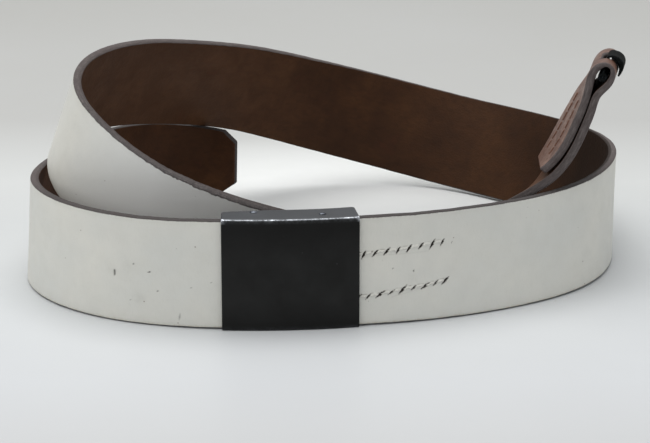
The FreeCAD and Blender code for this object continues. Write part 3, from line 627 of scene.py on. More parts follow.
def mat_hook():
    m = Mat("hook_black")
    co = m.attr("sv").outputs["Vector"]
    wear_and_glint = m.attr("wear_and_glint").outputs["Fac"]
    a = m.noise(co, 120, 4, 0.6)
    b = m.noise(co, 1200, 3, 0.6)
    col = m.mix(m.remap(a, 0.35, 0.7), (0.0028, 0.0032, 0.0030), (0.0060, 0.0070, 0.0064))
    # wear along the hook's edges, and a painted reflection on its rolled bar
    rub_and_glint = m.math("MULTIPLY", wear_and_glint, m.remap(b, 0.50, 0.66, 0, 0.45))
    col = m.mix(rub_and_glint, col, (0.060, 0.070, 0.085))
    return m.out(col, m.remap(a, 0.3, 0.7, 0.55, 0.70), m.bump(b, 0.2, 0.0003), metallic=m.math("MULTIPLY", rub_and_glint, 0.3), spec=0.04)


PAINT, INNER, EDGE, FOLDED = mat_paint(), mat_inner(), mat_edge(), mat_fold()
TABMAT, ENAMEL, BLUED, HOOKMAT = mat_tab(), mat_enamel(), mat_blued(), mat_hook()
THREAD_PAINTED = mat_thread("thread_painted", (0.53, 0.525, 0.485), (0.64, 0.63, 0.58))
THREAD_DARK = mat_thread("thread_dark", (0.115, 0.056, 0.037), (0.175, 0.092, 0.062))
THREAD_BARE = mat_thread("thread_bare", (0.30, 0.24, 0.16), (0.45, 0.38, 0.27))

# ---------------------------------------------------------------------------
# strap
# ---------------------------------------------------------------------------
SLITS = [tuple(p) for p in UPPER_ROW] + [tuple(p) for p in LOWER_ROW]
# marks on the painted face: (s, v, half length, half width, slope in degrees, depth)
MARKS = [(269.1, -2.2, 1.9, 0.38, 84, 0.55), (286.2, -0.3, 0.6, 0.42, 70, 0.35), (278.6, 2.8, 0.5, 0.40, 20, 0.18),
         (290.0, -9.0, 0.5, 0.30, 60, 0.20), (305.2, -6.5, 0.45, 0.3, 0, 0.15), (276.7, -14.5, 0.7, 0.22, 10, 0.12),
         (314.8, -3.8, 0.4, 0.35, 0, 0.2), (396.3, 0.3, 0.5, 0.3, 30, 0.18), (406.0, -1.5, 0.45, 0.45, 0, 0.3),
         (400.2, -17.5, 0.4, 0.3, 0, 0.15), (424.6, 10.0, 0.6, 0.22, 70, 0.25), (386.4, 8.6, 0.5, 0.35, 0, 0.3),
         (300.0, -20.5, 0.4, 0.25, 0, 0.12), (246.0, -21.5, 0.5, 0.25, 0, 0.12), (258.0, 12.0, 0.35, 0.22, 0, 0.1)]
# faint smudges: (s, v, radius, strength)
SMUDGES = [(158.1, -9.5, 3.2, 0.30), (155.5, -12.0, 1.8, 0.30), (276.5, 0.5, 5.0, 0.10), (281.0, -13.5, 3.0, 0.16),
           (268.5, -1.5, 3.0, 0.14), (396.0, 15.5, 2.2, 0.12), (310.0, 6.0, 6.0, 0.05), (388.0, 8.2, 1.6, 0.35)]


def strap_samples():
    """stations along the main span: finer where there is fine detail"""
    s = [0.0, 0.15, 0.45, 1.0, 2.0, 3.5, 5.5, 7.0, 8.5, 11.0]
    zones = [(262, 0, 2.2), (318, 262, 0.7), (372, 318, 2.2), (428, 372, 0.36), (900, 428, 2.4),
             (1120, 900, 0.9), ((STRAP_LENGTH - 0.024) / MM, 1120, 2.2)]
    for end, _, step in zones:
        a = s[-1]
        n = max(1, int(round((end - a) / step)))
        s += list(a + (end - a) * np.arange(1, n + 1) / n)
    return np.array(s) * MM


def ring_layout():
    """parameters of the strap's cross-section: face code, position code"""
    dense = np.arange(-15.2, 13.2, 0.38) / 25.0
    low = np.array([-0.955, -0.90, -0.82, -0.73, -0.665])
    high = np.array([0.585, 0.67, 0.76, 0.85, 0.915, 0.945, 0.962])
    outer = np.concatenate([low, dense, high])
    inner = np.linspace(0.95, -0.95, 26)
    return outer, inner


def strap_ring(hw, th, outer, inner, ro, ri):
    """closed outline in (v, n), with face codes 0 outer, 1 edge, 2 inner"""
    pts, code = [], []
    a, b = hw, th / 2
    # outer face, bottom to top
    for k in outer:
        pts.append((k * (a - ro) / 0.97, b))
        code.append(0)
    for k in range(1, 5):
        an = math.radians(90 - 90 * k / 5)
        pts.append((a - ro + ro * math.cos(an), b - ro + ro * math.sin(an)))
        code.append(0 if k < 2 else 1)
    for k in range(6):
        f = k / 5
        pts.append((a + 0.00012 * math.sin(math.pi * f), (b - ro) * (1 - f) - (b - ri) * f))
        code.append(1)
    for k in range(1, 5):
        an = math.radians(-90 * k / 5)
        pts.append((a - ri + ri * math.cos(an), -b + ri + ri * math.sin(an)))
        code.append(1 if k < 4 else 2)
    for k in inner:
        pts.append((k * (a - ri) / 0.97, -b))
        code.append(2)
    for k in range(1, 5):
        an = math.radians(-90 - 90 * k / 5)
        pts.append((-a + ri + ri * math.cos(an), -b + ri + ri * math.sin(an)))
        code.append(2 if k < 2 else 1)
    for k in range(6):
        f = k / 5
        pts.append((-a - 0.00012 * math.sin(math.pi * f), (-b + ri) * (1 - f) + (b - ro) * f))
        code.append(1)
    rb = ro * 0.4
    for k in range(1, 5):
        an = math.radians(180 - 90 * k / 5)
        pts.append((-a + rb + rb * math.cos(an), b - rb + rb * math.sin(an)))
        code.append(0)
    return np.array(pts), np.array(code)


def relief(s, v):
    """depth map of the outer face: (height, exposed leather with painted shade in the slits 0..1, dirt 0..1)"""
    h = np.zeros_like(s)
    bare_and_shade = np.zeros_like(s)
    dirt = np.zeros_like(s)
    # thread humps under the paint, and slits between them
    for row in (UPPER_ROW, LOWER_ROW):
        for (s0, v0), (s1, v1) in zip(row, row[1:]):
            ds, dv = s1 - s0, v1 - v0
            L = math.hypot(ds, dv)
            x = ((s - (s0 + s1) / 2) * ds + (v - (v0 + v1) / 2) * dv) / L
            y = (-(s - (s0 + s1) / 2) * dv + (v - (v0 + v1) / 2) * ds) / L
            arch = np.clip(1 - (x / (L * 0.5)) ** 2, 0, 1)
            d = np.exp(-((y - 0.00045 * arch) / 0.00075) ** 2) * np.sqrt(arch)
            h = h + 0.00034 * d
            # cracked outline of the paint along the upper side of the hump
            line = np.exp(-((y - 0.00045 * arch - 0.00095) / 0.00016) ** 2) * (arch > 0.12)
            rag = 0.5 + 0.5 * noise1(s, 0.0011, 5)
            h = h - 0.00010 * line
            dirt = np.maximum(dirt, 0.85 * line * np.clip(rag * 1.7, 0, 1))
        for k, (s0, v0) in enumerate(row):
            jig = 1 + 0.20 * math.sin(2.7 * k + v0 * 900)
            a = math.radians((54 if v0 > 0 else 38) + 8 * math.sin(1.9 * k))
            u = (s - s0) * math.cos(a) + (v - v0) * math.sin(a)
            w = -(s - s0) * math.sin(a) + (v - v0) * math.cos(a)
            lens = np.clip(1 - np.abs(u / (0.00235 * jig)) ** 1.15, 0, 1)
            d = np.clip(1 - (np.abs(w) / (0.00066 * jig * np.maximum(lens, 0.05))) ** 2, 0, 1) * (lens > 0)
            h = h - 0.0011 * d
            # the slits are set dark: painted shade in the holes, where the leather is also exposed
            bare_and_shade = np.maximum(bare_and_shade, np.clip(d * 3.4, 0, 1))
    # faint pressed crease under each row
    for v0, v1, s0, s1 in ((0.0066, 0.0071, 0.381, 0.413), (-0.0130, -0.0096, 0.396, 0.412)):
        f = np.clip((s - s0) / (s1 - s0), 0, 1)
        line = np.exp(-((v - (v0 + (v1 - v0) * f)) / 0.00022) ** 2) * ((s > s0) & (s < s1))
        h = h - 0.00005 * line
        dirt = np.maximum(dirt, 0.22 * line)
    for s0, v0, hl, hw_, ang, dep in MARKS:
        a = math.radians(ang)
        x, y = (s - s0 * MM), (v - v0 * MM)
        u = (x * math.cos(a) + y * math.sin(a)) / (hl * MM)
        w = (-x * math.sin(a) + y * math.cos(a)) / (hw_ * MM)
        r = u * u + w * w * (1 + 0.5 * noise1(u, 0.35, int(s0) % 97))
        d = np.clip(1 - r, 0, 1)
        h = h - dep * MM * d
        bare_and_shade = np.maximum(bare_and_shade, np.clip(d * 2.2, 0, 1) * min(1.0, 0.45 + dep))
    for s0, v0, r0, k in SMUDGES:
        r = np.hypot(s - s0 * MM, v - v0 * MM) / (r0 * MM)
        dirt = np.maximum(dirt, k * np.exp(-r * r) * (0.6 + 0.4 * noise2(s, v, 0.0011, 3)))
    return h, bare_and_shade, dirt


def build_strap():
    outer, inner = ring_layout()
    ss = strap_samples()
    P, T, N, Wd = frames(ss)
    hw = half_width(ss)
    th = np.full(len(ss), STRAP_THICK)
    # rounded rim of the tail's end
    rim = np.clip(1 - ss / (0.6 * MM), 0, 1)
    hw = hw - 0.0006 * (1 - np.sqrt(np.clip(1 - rim ** 2, 0, 1)))
    th = th - 0.0012 * (1 - np.sqrt(np.clip(1 - rim ** 2, 0, 1)))
    rows_c, rows_n, rows_w = [P], [N], [Wd]
    # folded end, following the same profile as the CAD strap
    q = chord(FOLD)
    prof = Cubic(q, FOLD[:, :2])
    thick = Cubic(q, FOLD[:, 2])
    n = 150
    qq = np.linspace(q[0], q[-1], n + 1)[1:]
    qq = np.concatenate([qq[:-1], q[-1] - np.array([0.0010, 0.0004, 0.00012, 0.0])])
    qq = np.unique(np.round(qq, 7))
    p2, d2 = prof(qq), unit(prof(qq, 1))
    c, tt, nn, ww = fold_place(p2[:, 0], p2[:, 1])
    rows_c.append(c)
    rows_n.append(unit(tt * (-d2[:, 1:2]) + nn * d2[:, 0:1]))
    rows_w.append(ww)
    C, Nn, Ww = np.concatenate(rows_c), np.concatenate(rows_n), np.concatenate(rows_w)
    th_f = thick(qq)[:, 0]
    endr = np.clip(1 - (q[-1] - qq) / (0.9 * MM), 0, 1)
    th_f = th_f - 0.0016 * (1 - np.sqrt(np.clip(1 - endr ** 2, 0, 1)))
    hw = np.concatenate([hw, np.full(len(qq), STRAP_WIDTH / 2) - 0.0006 * (1 - np.sqrt(np.clip(1 - endr ** 2, 0, 1)))])
    th = np.concatenate([th, th_f])
    s_all = np.concatenate([ss, STRAP_LENGTH - 0.024 + qq])
    nrow = len(C)
    ring0, code = strap_ring(STRAP_WIDTH / 2, STRAP_THICK, outer, inner, 0.0007, 0.0005)
    nring = len(ring0)
    V = np.zeros((nrow, nring, 3))
    SV = np.zeros((nrow, nring, 3))
    bare_and_shade = np.zeros((nrow, nring))
    dirt = np.zeros((nrow, nring))
    edge = np.zeros((nrow, nring))
    # columns beside the slot, and the rows it spans
    vo = np.where(code == 0, ring0[:, 0], 9.0)
    vi = np.where(code == 2, ring0[:, 0], 9.0)
    oa, ob_ = int(np.argmin(np.abs(vo + SLOT_HALF))), int(np.argmin(np.abs(vo - SLOT_HALF)))
    ia, ib = int(np.argmin(np.abs(vi - SLOT_HALF))), int(np.argmin(np.abs(vi + SLOT_HALF)))
    th_h = np.concatenate([np.full(len(ss), 9.0), p2[:, 1]])
    th_t = np.concatenate([np.full(len(ss), -9.0), p2[:, 0]])
    inside = np.where((th_t > SLOT_T) & (th_h < SLOT_H))[0]
    r0, r1 = int(inside[0]), int(inside[-1])
    for i in range(nrow):
        ro = min(0.0007, th[i] * 0.34)
        ri = min(0.0005, th[i] * 0.28)
        ring, _ = strap_ring(hw[i], th[i], outer, inner, ro, ri)
        s = s_all[i]
        v, nv = ring[:, 0].copy(), ring[:, 1].copy()
        if i >= len(ss):
            v[oa], v[ob_], v[ia], v[ib] = -SLOT_HALF, SLOT_HALF, SLOT_HALF, -SLOT_HALF
        sa = np.full(nring, s)
        # slightly wavy cut edges and a soft surface
        k = np.clip((np.abs(v) / hw[i] - 0.86) / 0.14, 0, 1)
        wav = 0.00010 * noise1(sa, 0.011, 11) + 0.00006 * noise1(sa, 0.0031, 12)
        v = v - np.sign(v) * k * np.abs(wav)
        nv = nv + np.where(code != 1, 0.00003 * noise2(sa, v, 0.0065, 21), 0)
        h = np.zeros(nring)
        m0 = code == 0
        if s < STRAP_LENGTH - 0.02:
            h[m0], bare_and_shade[i, m0], dirt[i, m0] = relief(sa[m0], v[m0])
        # chipped upper rim on the inner turn's descent, and small nicks elsewhere
        gap = hw[i] - np.abs(v)
        top = (v > 0) & (k > 0.35)
        chip = np.zeros(nring)
        for s0, s1, amp, step, seed in ((1.066, 1.118, 0.00050, 0.0013, 31), (1.02, 1.145, 0.00022, 0.0031, 33),
                                        (0.262, 0.292, 0.00030, 0.0047, 35), (0.20, 0.56, 0.00008, 0.0023, 37)):
            win = np.clip((s - s0) / 0.010, 0, 1) * np.clip((s1 - s) / 0.010, 0, 1)
            rag = noise1(sa, step, seed) + 0.6 * noise1(sa, step * 0.37, seed + 1)
            chip = chip + amp * win * np.clip(rag * 1.2 - 0.15, 0, 1)
        outer_side = np.clip(0.5 + nv / STRAP_THICK, 0, 1)
        v = np.where(top, v - chip * k * (0.35 + 0.65 * outer_side), v)
        bare_and_shade[i] = np.maximum(bare_and_shade[i], np.where(top & (code == 0) & (gap < 0.0008), np.clip(chip / 0.00035, 0, 1), 0))
        nv = nv + h
        V[i] = C[i] + Ww[i] * v[:, None] + Nn[i] * nv[:, None]
        SV[i, :, 0], SV[i, :, 1], SV[i, :, 2] = s, v, nv
        edge[i] = np.clip(hw[i] - np.abs(v), 0, 1)
    # paint is grimier beside the cut edges and towards the fold
    fade = np.clip((s_all - (STRAP_LENGTH - 0.040)) / 0.03, 0, 1)[:, None]
    dirt = np.maximum(dirt, np.clip(1 - edge / 0.0035, 0, 1) * 0.10)
    dirt = np.maximum(dirt, fade * 0.35)
    faces = tube_faces(nrow, nring)
    fm = np.zeros(len(faces), int)
    jc = np.array([min(code[j], code[(j + 1) % nring]) if {code[j], code[(j + 1) % nring]} != {0, 2} else 1
                   for j in range(nring)])
    jm = np.array([1 if 1 in (code[j], code[(j + 1) % nring]) else code[j] for j in range(nring)])
    jm = np.where(jm == 1, 2, np.where(jm == 2, 1, 0))     # slots: 0 paint, 1 inner, 2 edge, 3 folded
    grid = np.tile(jm, (nrow - 1, 1))
    paint_end = STRAP_LENGTH - 0.012
    rim0 = len(outer) - 1
    for i in range(nrow - 1):
        if s_all[i] < 0.17:
            grid[i, rim0:rim0 + 2] = 2
            grid[i, nring - 5:] = np.where(grid[i, nring - 5:] == 0, 2, grid[i, nring - 5:])
    past = s_all[:-1] > paint_end
    grid[past] = np.where(grid[past] == 0, 3, grid[past])
    fm[: (nrow - 1) * nring] = grid.reshape(-1)
    fm[-2:] = 2
    # open the slot and wall it
    keep = np.ones(len(faces), bool)
    for i in range(r0, r1):
        for j in list(range(min(oa, ob_), max(oa, ob_))) + list(range(min(ia, ib), max(ia, ib))):
            keep[i * nring + j] = False
    faces = [f for f, k in zip(faces, keep) if k]
    fm = list(fm[keep])
    for i in range(r0, r1):
        for a_, b_ in ((oa, ib), (ob_, ia)):
            faces.append((i * nring + a_, (i + 1) * nring + a_, (i + 1) * nring + b_, i * nring + b_))
            fm.append(2)
    for i in (r0, r1):
        lo_, hi_ = min(oa, ob_), max(oa, ob_)
        faces.append(tuple(i * nring + j for j in list(range(lo_, hi_ + 1)) + list(range(min(ia, ib), max(ia, ib) + 1))))
        fm.append(2)
    fm = np.array(fm)
    used = sorted({k for f in faces for k in f})
    renum = {k: n_ for n_, k in enumerate(used)}
    faces = [tuple(renum[k] for k in f) for f in faces]
    V, SV = V.reshape(-1, 3)[used], SV.reshape(-1, 3)[used]
    bare_and_shade, dirt, edge = bare_and_shade.reshape(-1)[used], dirt.reshape(-1)[used], edge.reshape(-1)[used]
    ob = make_mesh("strap_leather", V.reshape(-1, 3), faces, [PAINT, INNER, EDGE, FOLDED], fm,
                   {"sv": SV.reshape(-1, 3), "bare_and_shade": bare_and_shade.reshape(-1), "dirt": dirt.reshape(-1), "edge": edge.reshape(-1)})
    fix_normals(ob)
    return ob


strap = build_strap()

# ---------------------------------------------------------------------------
# thread: twisted segments from hole to hole
# ---------------------------------------------------------------------------


def thread_tube(points, r, up, twist=2600.0, nring=15):
    """verts and faces of one twisted thread along points (n, 3)"""
    p = np.asarray(points)
    t = unit(np.gradient(p, axis=0))
    a = unit(np.cross(t, up))
    b = np.cross(a, t)
    d = np.concatenate([[0], np.cumsum(np.linalg.norm(np.diff(p, axis=0), axis=1))])
    th = np.linspace(0, 2 * math.pi, nring, endpoint=False)
    endk = np.sqrt(np.clip(1 - np.clip(1 - np.minimum(d, d[-1] - d) / (r * 0.9), 0, 1) ** 2, 0.05, 1))
    rr = r * endk[:, None] * (1 + 0.13 * np.cos(3 * th[None, :] - twist * d[:, None]))
    v = p[:, None, :] + rr[..., None] * (np.cos(th)[None, :, None] * a[:, None, :] + np.sin(th)[None, :, None] * b[:, None, :])
    return v.reshape(-1, 3), tube_faces(len(p), nring)


def join_tubes(name, tubes, mats, slots):
    verts, faces, fm, base = [], [], [], 0
    for (v, f), k in zip(tubes, slots):
        verts.append(v)
        faces += [tuple(i + base for i in q) for q in f]
        fm += [k] * len(f)
        base += len(v)
    ob = make_mesh(name, np.concatenate(verts), faces, mats, fm)
    fix_normals(ob)
    return ob


def surf(s, v, off):
    """points on the strap at (s, v), off the centre plane"""
    p, t, n, w = frames(np.asarray(s))
    return p + w * np.asarray(v)[:, None] + n * np.asarray(off)[:, None], n


def tab_row(name, holes):
    tubes, slots = [], []
    x = np.linspace(0, 1, 25)
    arch = np.sin(math.pi * x)
    for k, ((s0, v0), (s1, v1)) in enumerate(zip(holes, holes[1:])):
        xs = 0.13 + 0.74 * x
        s, v = s0 + (s1 - s0) * xs, v0 + (v1 - v0) * xs + 0.00042 * arch
        rise = np.clip(np.minimum(x, 1 - x) / 0.16, 0, 1)
        rise = rise * rise * (3 - 2 * rise)
        off = STRAP_THICK / 2 - 0.00095 + (0.00095 + 0.00010) * rise + 0.00008 * arch
        p, n = surf(s, v, off)
        tubes.append(thread_tube(p, 0.00036, n))
        slots.append(0)
        v = v0 + (v1 - v0) * x
        off = -(STRAP_THICK / 2 + 0.00012 + 2 * TAB_PLY) + 0.0007 - (0.0007 + 0.00012) * rise
        p, n = surf(s, v, off)
        tubes.append(thread_tube(p, 0.00036, -n))
        slots.append(1)
    for s0, v0 in holes:
        off = np.linspace(STRAP_THICK / 2 - 0.0016, -(STRAP_THICK / 2 + 0.0012), 8)
        p, n = surf(np.full(8, s0), np.full(8, v0), off)
        tubes.append(thread_tube(p, 0.00030, np.tile(np.array([0, 0, 1.0]), (8, 1))))
        slots.append(1)
    return join_tubes(name, tubes, [THREAD_PAINTED, THREAD_BARE], slots)


def fold_row(name, v0):
    order = np.argsort(-FOLD[17:, 0])
    back = Cubic(-FOLD[17:, 0][order], FOLD[17:, 1][order])
    tubes, slots = [], []
    x = np.linspace(0, 1, 25)
    rise = np.clip(np.minimum(x, 1 - x) / 0.16, 0, 1)
    rise = rise * rise * (3 - 2 * rise)
    for t0, t1 in zip(FOLD_ROW_T, FOLD_ROW_T[1:]):
        t = t0 + (t1 - t0) * x
        h0 = FOLD_OFFSET + STRAP_THICK / 2
        p, tt, n, w = fold_place(t, h0 - 0.0006 + 0.00068 * rise)
        tubes.append(thread_tube(p + w * v0, 0.00036, n))
        slots.append(0)
        p, tt, n, w = fold_place(t, back(-t)[:, 0] - 0.00185 + 0.0006 - 0.00072 * rise)
        tubes.append(thread_tube(p + w * v0, 0.00036, -n))
        slots.append(1)
    for t0 in FOLD_ROW_T:
        h = np.linspace(FOLD_OFFSET + 0.0014, back(-t0)[0, 0] - 0.0012, 8)
        p, tt, n, w = fold_place(np.full(8, t0), h)
        tubes.append(thread_tube(p + w * v0, 0.00030, tt))
        slots.append(1)
    return join_tubes(name, tubes, [THREAD_PAINTED, THREAD_DARK], slots)


thread_up = tab_row("tab_thread_upper", UPPER_ROW)
thread_lo = tab_row("tab_thread_lower", LOWER_ROW)
fold_up = fold_row("fold_thread_upper", FOLD_ROW_V)
fold_lo = fold_row("fold_thread_lower", -FOLD_ROW_V)

# ---------------------------------------------------------------------------
# leather tab round the tab pin
# ---------------------------------------------------------------------------


def plate_world(a, y, z):
    c, s = math.cos(PLATE_YAW), math.sin(PLATE_YAW)
    a, y, z = np.broadcast_arrays(a, y, z)
    return np.stack([PLATE_X + a * c - y * s, PLATE_Y + a * s + y * c, z], -1)


def build_tab():
    axis = plate_world(*TAB_PIN, 0.026)
    ss = np.linspace(0.350, 0.390, 801)
    p, t, n, w = frames(ss)
    d = axis - p
    d[:, 2] = 0
    i = int(np.argmin(np.abs(np.sum(d * t, 1))))
    pin_s, pin_in = ss[i], -float(np.sum(d[i] * n[i]))
    near = STRAP_THICK / 2 + 0.10 * MM + TAB_PLY / 2
    far = STRAP_THICK / 2 + 0.16 * MM + TAB_PLY * 1.5
    lr = PIN_R + 0.17 * MM + TAB_PLY / 2
    E = TAB_END
    path = np.array([(E, near), (E - .014, near), (E - .028, near), (E - .042, near), (pin_s + .0105, near + .00001),
                     (pin_s + .006, near + .00004), (pin_s + .0022, pin_in - lr - .00001), (pin_s, pin_in - lr), (pin_s - lr * 0.78, pin_in - lr * 0.66),
                     (pin_s - lr * 1.02, pin_in), (pin_s - lr * 0.74, pin_in + lr * 0.72), (pin_s, pin_in + lr),
                     (pin_s + .0024, pin_in + lr * 0.82), (pin_s + .0054, pin_in + .00015), (pin_s + .009, far + .00012),
                     (E - .042, far), (E - .028, far), (E - .014, far), (E, far)])
    q = chord(path)
    c2 = Cubic(q, path)
    qq = np.unique(np.concatenate([np.linspace(q[0], q[5], 60), np.linspace(q[5], q[14], 90), np.linspace(q[14], q[-1], 60)]))
    p2, d2 = c2(qq), unit(c2(qq, 1))
    p, t, n, w = frames(p2[:, 0])
    cen = p - n * p2[:, 1:2] + w * (-2.35 * MM + 0.104 * (p2[:, 0] - 0.383))[:, None]
    nn = t * d2[:, 1:2] + n * d2[:, 0:1]
    ring = []
    hw, ht, r = TAB_HALF, TAB_PLY / 2, 0.28 * MM
    base = rect_ring(hw, ht, r, 4)
    m = np.linspace(hw - r, -hw + r, 16)[1:-1]
    ring = np.concatenate([base[:5], np.stack([m, np.full(14, ht)], 1), base[5:15],
                           np.stack([-m, np.full(14, -ht)], 1), base[15:]])
    endk = np.clip(1 - np.minimum(qq - q[0], q[-1] - qq) / (0.5 * MM), 0, 1)
    shrink = 0.00026 * (1 - np.sqrt(np.clip(1 - endk ** 2, 0, 1)))
    V = np.zeros((len(qq), len(ring), 3))
    SV = np.zeros_like(V)
    for i in range(len(qq)):
        v, h = ring[:, 0].copy(), ring[:, 1].copy()
        v = v * (1 - shrink[i] / hw)
        h = h * (1 - shrink[i] / ht * 0.8) + 0.00003 * noise2(np.full(len(v), p2[i, 0]), v, 0.004, 8)
        v = v + np.sign(v) * (np.abs(v) > hw * 0.9) * 0.00008 * noise1(np.full(len(v), qq[i]), 0.003, 9)
        V[i] = cen[i] + w[i] * v[:, None] + nn[i] * h[:, None]
        SV[i] = np.stack([np.full(len(v), qq[i]), v, h], -1)
    ob = make_mesh("tab_leather_strip", V.reshape(-1, 3), tube_faces(len(qq), len(ring)), [TABMAT], None,
                   {"sv": SV.reshape(-1, 3)})
    fix_normals(ob)
    return ob


tab = build_tab()

# ---------------------------------------------------------------------------
# buckle plate
# ---------------------------------------------------------------------------
FRONT_R = (PLATE_HALF ** 2 + PLATE_BULGE ** 2) / (2 * PLATE_BULGE)


def front_y(a):
    return FRONT_R - PLATE_BULGE - np.sqrt(FRONT_R ** 2 - a * a)


BACK = Cubic(np.array([-31.5, -28.1, -17.3, -3, 9.8, 18.9, 24, 28.5, 31.5]) * MM,
             np.array([12.95, 13.25, 14.05, 14.35, 14.65, 15.4, 16.05, 16.8, 17.2]) * MM)


def plate_ring(a, k):
    """closed outline of the sheet at plate position a, in (depth, z); k scales the sheet's thickness.
    Returns points, their wear and painted highlight, and the depth of the front at a; the caller tapers the flanges."""
    side = 1 if a > 0 else -1
    rc = 1.9 * MM
    x = np.clip((abs(a) - (PLATE_HALF - rc)) / rc, 0, 1)
    back = float(BACK(a)[0, 0]) - rc * (1 - math.sqrt(max(0.0, 1 - x * x)))
    f = float(front_y(np.array(a)))
    H, R, S = PLATE_HEIGHT, PLATE_BEND_R, PLATE_SHEET
    half = S / 2 * k
    rm = R - S / 2                     # mid-surface bend radius
    mid, nrm, wear_and_glint = [], [], []
    y0 = f + S / 2                     # depth of the mid surface of the front
    top = H - S / 2
    for g in np.linspace(0, 1, 15):    # top flange, back to front
        mid.append((back + (y0 + rm - back) * g, top))
        nrm.append((0, 1))
        wear_and_glint.append(0.06 * math.exp(-((g) / 0.05) ** 2) + 0.16 * math.exp(-((1 - g) * (back - y0) / 0.0004) ** 2))
    for g in range(1, 9):
        an = math.radians(90 * g / 9)
        mid.append((y0 + rm - rm * math.sin(an), top - rm + rm * math.cos(an)))
        nrm.append((-math.sin(an), math.cos(an)))
        # a narrow bright band in the top bend: worn steel and a painted highlight
        wear_and_glint.append(0.08 + 0.92 * math.exp(-((an - 0.66) / 0.26) ** 2))
    z1, z0 = top - rm, S / 2 + rm
    for g in np.linspace(0, 1, 40):
        mid.append((y0, z1 + (z0 - z1) * g))
        nrm.append((-1, 0))
        zz = z1 + (z0 - z1) * g
        wear_and_glint.append(0.06 * math.exp(-((z1 - zz) / 0.0003) ** 2) + 0.02 * math.exp(-((zz - z0) / 0.0005) ** 2))
    for g in range(1, 9):
        an = math.radians(90 * g / 9)
        mid.append((y0 + rm - rm * math.cos(an), z0 - rm * math.sin(an)))
        nrm.append((-math.cos(an), -math.sin(an)))
        wear_and_glint.append(0.05)
    for g in np.linspace(0, 1, 15):
        mid.append((y0 + rm + (back - y0 - rm) * g, S / 2))
        nrm.append((0, -1))
        wear_and_glint.append(0.05)
    mid, nrm, wear_and_glint = np.array(mid), np.array(nrm, float), np.array(wear_and_glint)
    outer = mid + nrm * half
    inner = (mid - nrm * half)[::-1]
    rim_b = [(mid[-1, 0] + half * math.sin(math.radians(x)), mid[-1, 1] - half * math.cos(math.radians(x))) for x in (35, 70, 110, 145)]
    rim_t = [(mid[0, 0] + half * math.sin(math.radians(x)), mid[0, 1] - half * math.cos(math.radians(x))) for x in (35, 70, 110, 145)]
    pts = np.concatenate([outer, rim_b, inner, rim_t])
    wear_glint = np.concatenate([wear_and_glint, [0.05] * 4, np.zeros(len(inner)), [0.22] * 4])
    return pts, wear_glint, f


def build_plate():
    e = PLATE_HALF
    end = np.array([0.0, 0.02, 0.07, 0.16, 0.28, 0.42, 0.6, 0.85, 1.15, 1.5, 1.9, 2.6]) * MM
    a = np.concatenate([-e + end, np.linspace(-e + 3.6 * MM, e - 3.6 * MM, 60), (e - end)[::-1]])
    V, W, C = [], [], []
    for x in a:
        d = e - abs(x)
        q = max(0.0, 1 - d / (0.36 * MM))
        k = max(0.10, math.sqrt(max(0.0, 1 - q * q)))
        pts, wear_glint, f = plate_ring(float(x), k)
        taper = 1 - 0.0255 * np.clip((pts[:, 0] - f) / (15 * MM), 0, 1.1)
        al = x * taper
        corner = math.exp(-((e - abs(x)) / (0.9 * MM)) ** 2)
        bend = np.array([1.0 if 13 < j < 24 else 0.0 for j in range(len(wear_glint))])
        # bright spots at both ends of the top bend: painted highlight over worn corners
        wear_glint = np.clip(wear_glint * (0.80 + 0.35 * noise1(np.array([x]), 0.004, 51)[0]) + corner * bend * 0.9, 0, 1)
        # rolled sheet is never quite flat
        dy = 0.00004 * noise2(np.full(len(pts), x), pts[:, 1], 0.013, 61)
        V.append(plate_world(al, pts[:, 0] + dy, pts[:, 1]))
        W.append(wear_glint)
        C.append(np.stack([al, pts[:, 1], pts[:, 0]], -1))
    V, W, C = np.array(V), np.array(W), np.array(C)
    ob = make_mesh("plate_sheet", V.reshape(-1, 3), tube_faces(len(a), V.shape[1]), [ENAMEL], None,
                   {"sv": C.reshape(-1, 3), "wear_and_glint": W.reshape(-1)})
    fix_normals(ob)
    return ob


plate = build_plate()


def build_pin(name, pos, seed):
    """shank with a low peened dome, flush at the bottom"""
    H = PLATE_HEIGHT
    prof = [(0.0, 0.05 * MM), (0.6 * MM, 0.05 * MM), (1.0 * MM, 0.08 * MM), (PIN_R, 0.25 * MM)]
    prof += [(PIN_R, z) for z in np.linspace(0.8 * MM, H - 0.05 * MM, 16)]
    prof += [(PIN_HEAD_R - 0.12 * MM, H + 0.01 * MM)]
    for k in range(0, 11):
        an = math.radians(90 * k / 10)
        prof.append((PIN_HEAD_R * math.cos(an) ** 0.8 if k < 10 else 0.0, H + PIN_HEAD_H * math.sin(an)))
    prof = np.array(prof)
    nth = 36
    th = np.linspace(0, 2 * math.pi, nth, endpoint=False)
    V = []
    for r, z in prof[1:-1]:
        dent = 1 + (0.05 * noise1(th / 1.2, 0.8, seed) if z > H else 0.012 * noise1(th, 1.0, seed + 1))
        V.append(plate_world(pos[0] + r * dent * np.cos(th), pos[1] + r * dent * np.sin(th), np.full(nth, z)))
    V = np.array(V).reshape(-1, 3)
    n = len(prof) - 2
    faces = tube_faces(n, nth, caps=False)
    lo, hi = len(V), len(V) + 1
    V = np.concatenate([V, plate_world(np.array([pos[0]] * 2), np.array([pos[1]] * 2), np.array([prof[0, 1], prof[-1, 1]]))])
    faces += [(lo, (j + 1) % nth, j) for j in range(nth)]
    faces += [(hi, (n - 1) * nth + j, (n - 1) * nth + (j + 1) % nth) for j in range(nth)]
    ob = make_mesh(name, V, faces, [BLUED])
    fix_normals(ob)
    return ob


tab_pin = build_pin("tab_pin_steel", TAB_PIN, 71)
catch_pin = build_pin("catch_pin_steel", CATCH_PIN, 77)

# ---------------------------------------------------------------------------
# hook
# ---------------------------------------------------------------------------


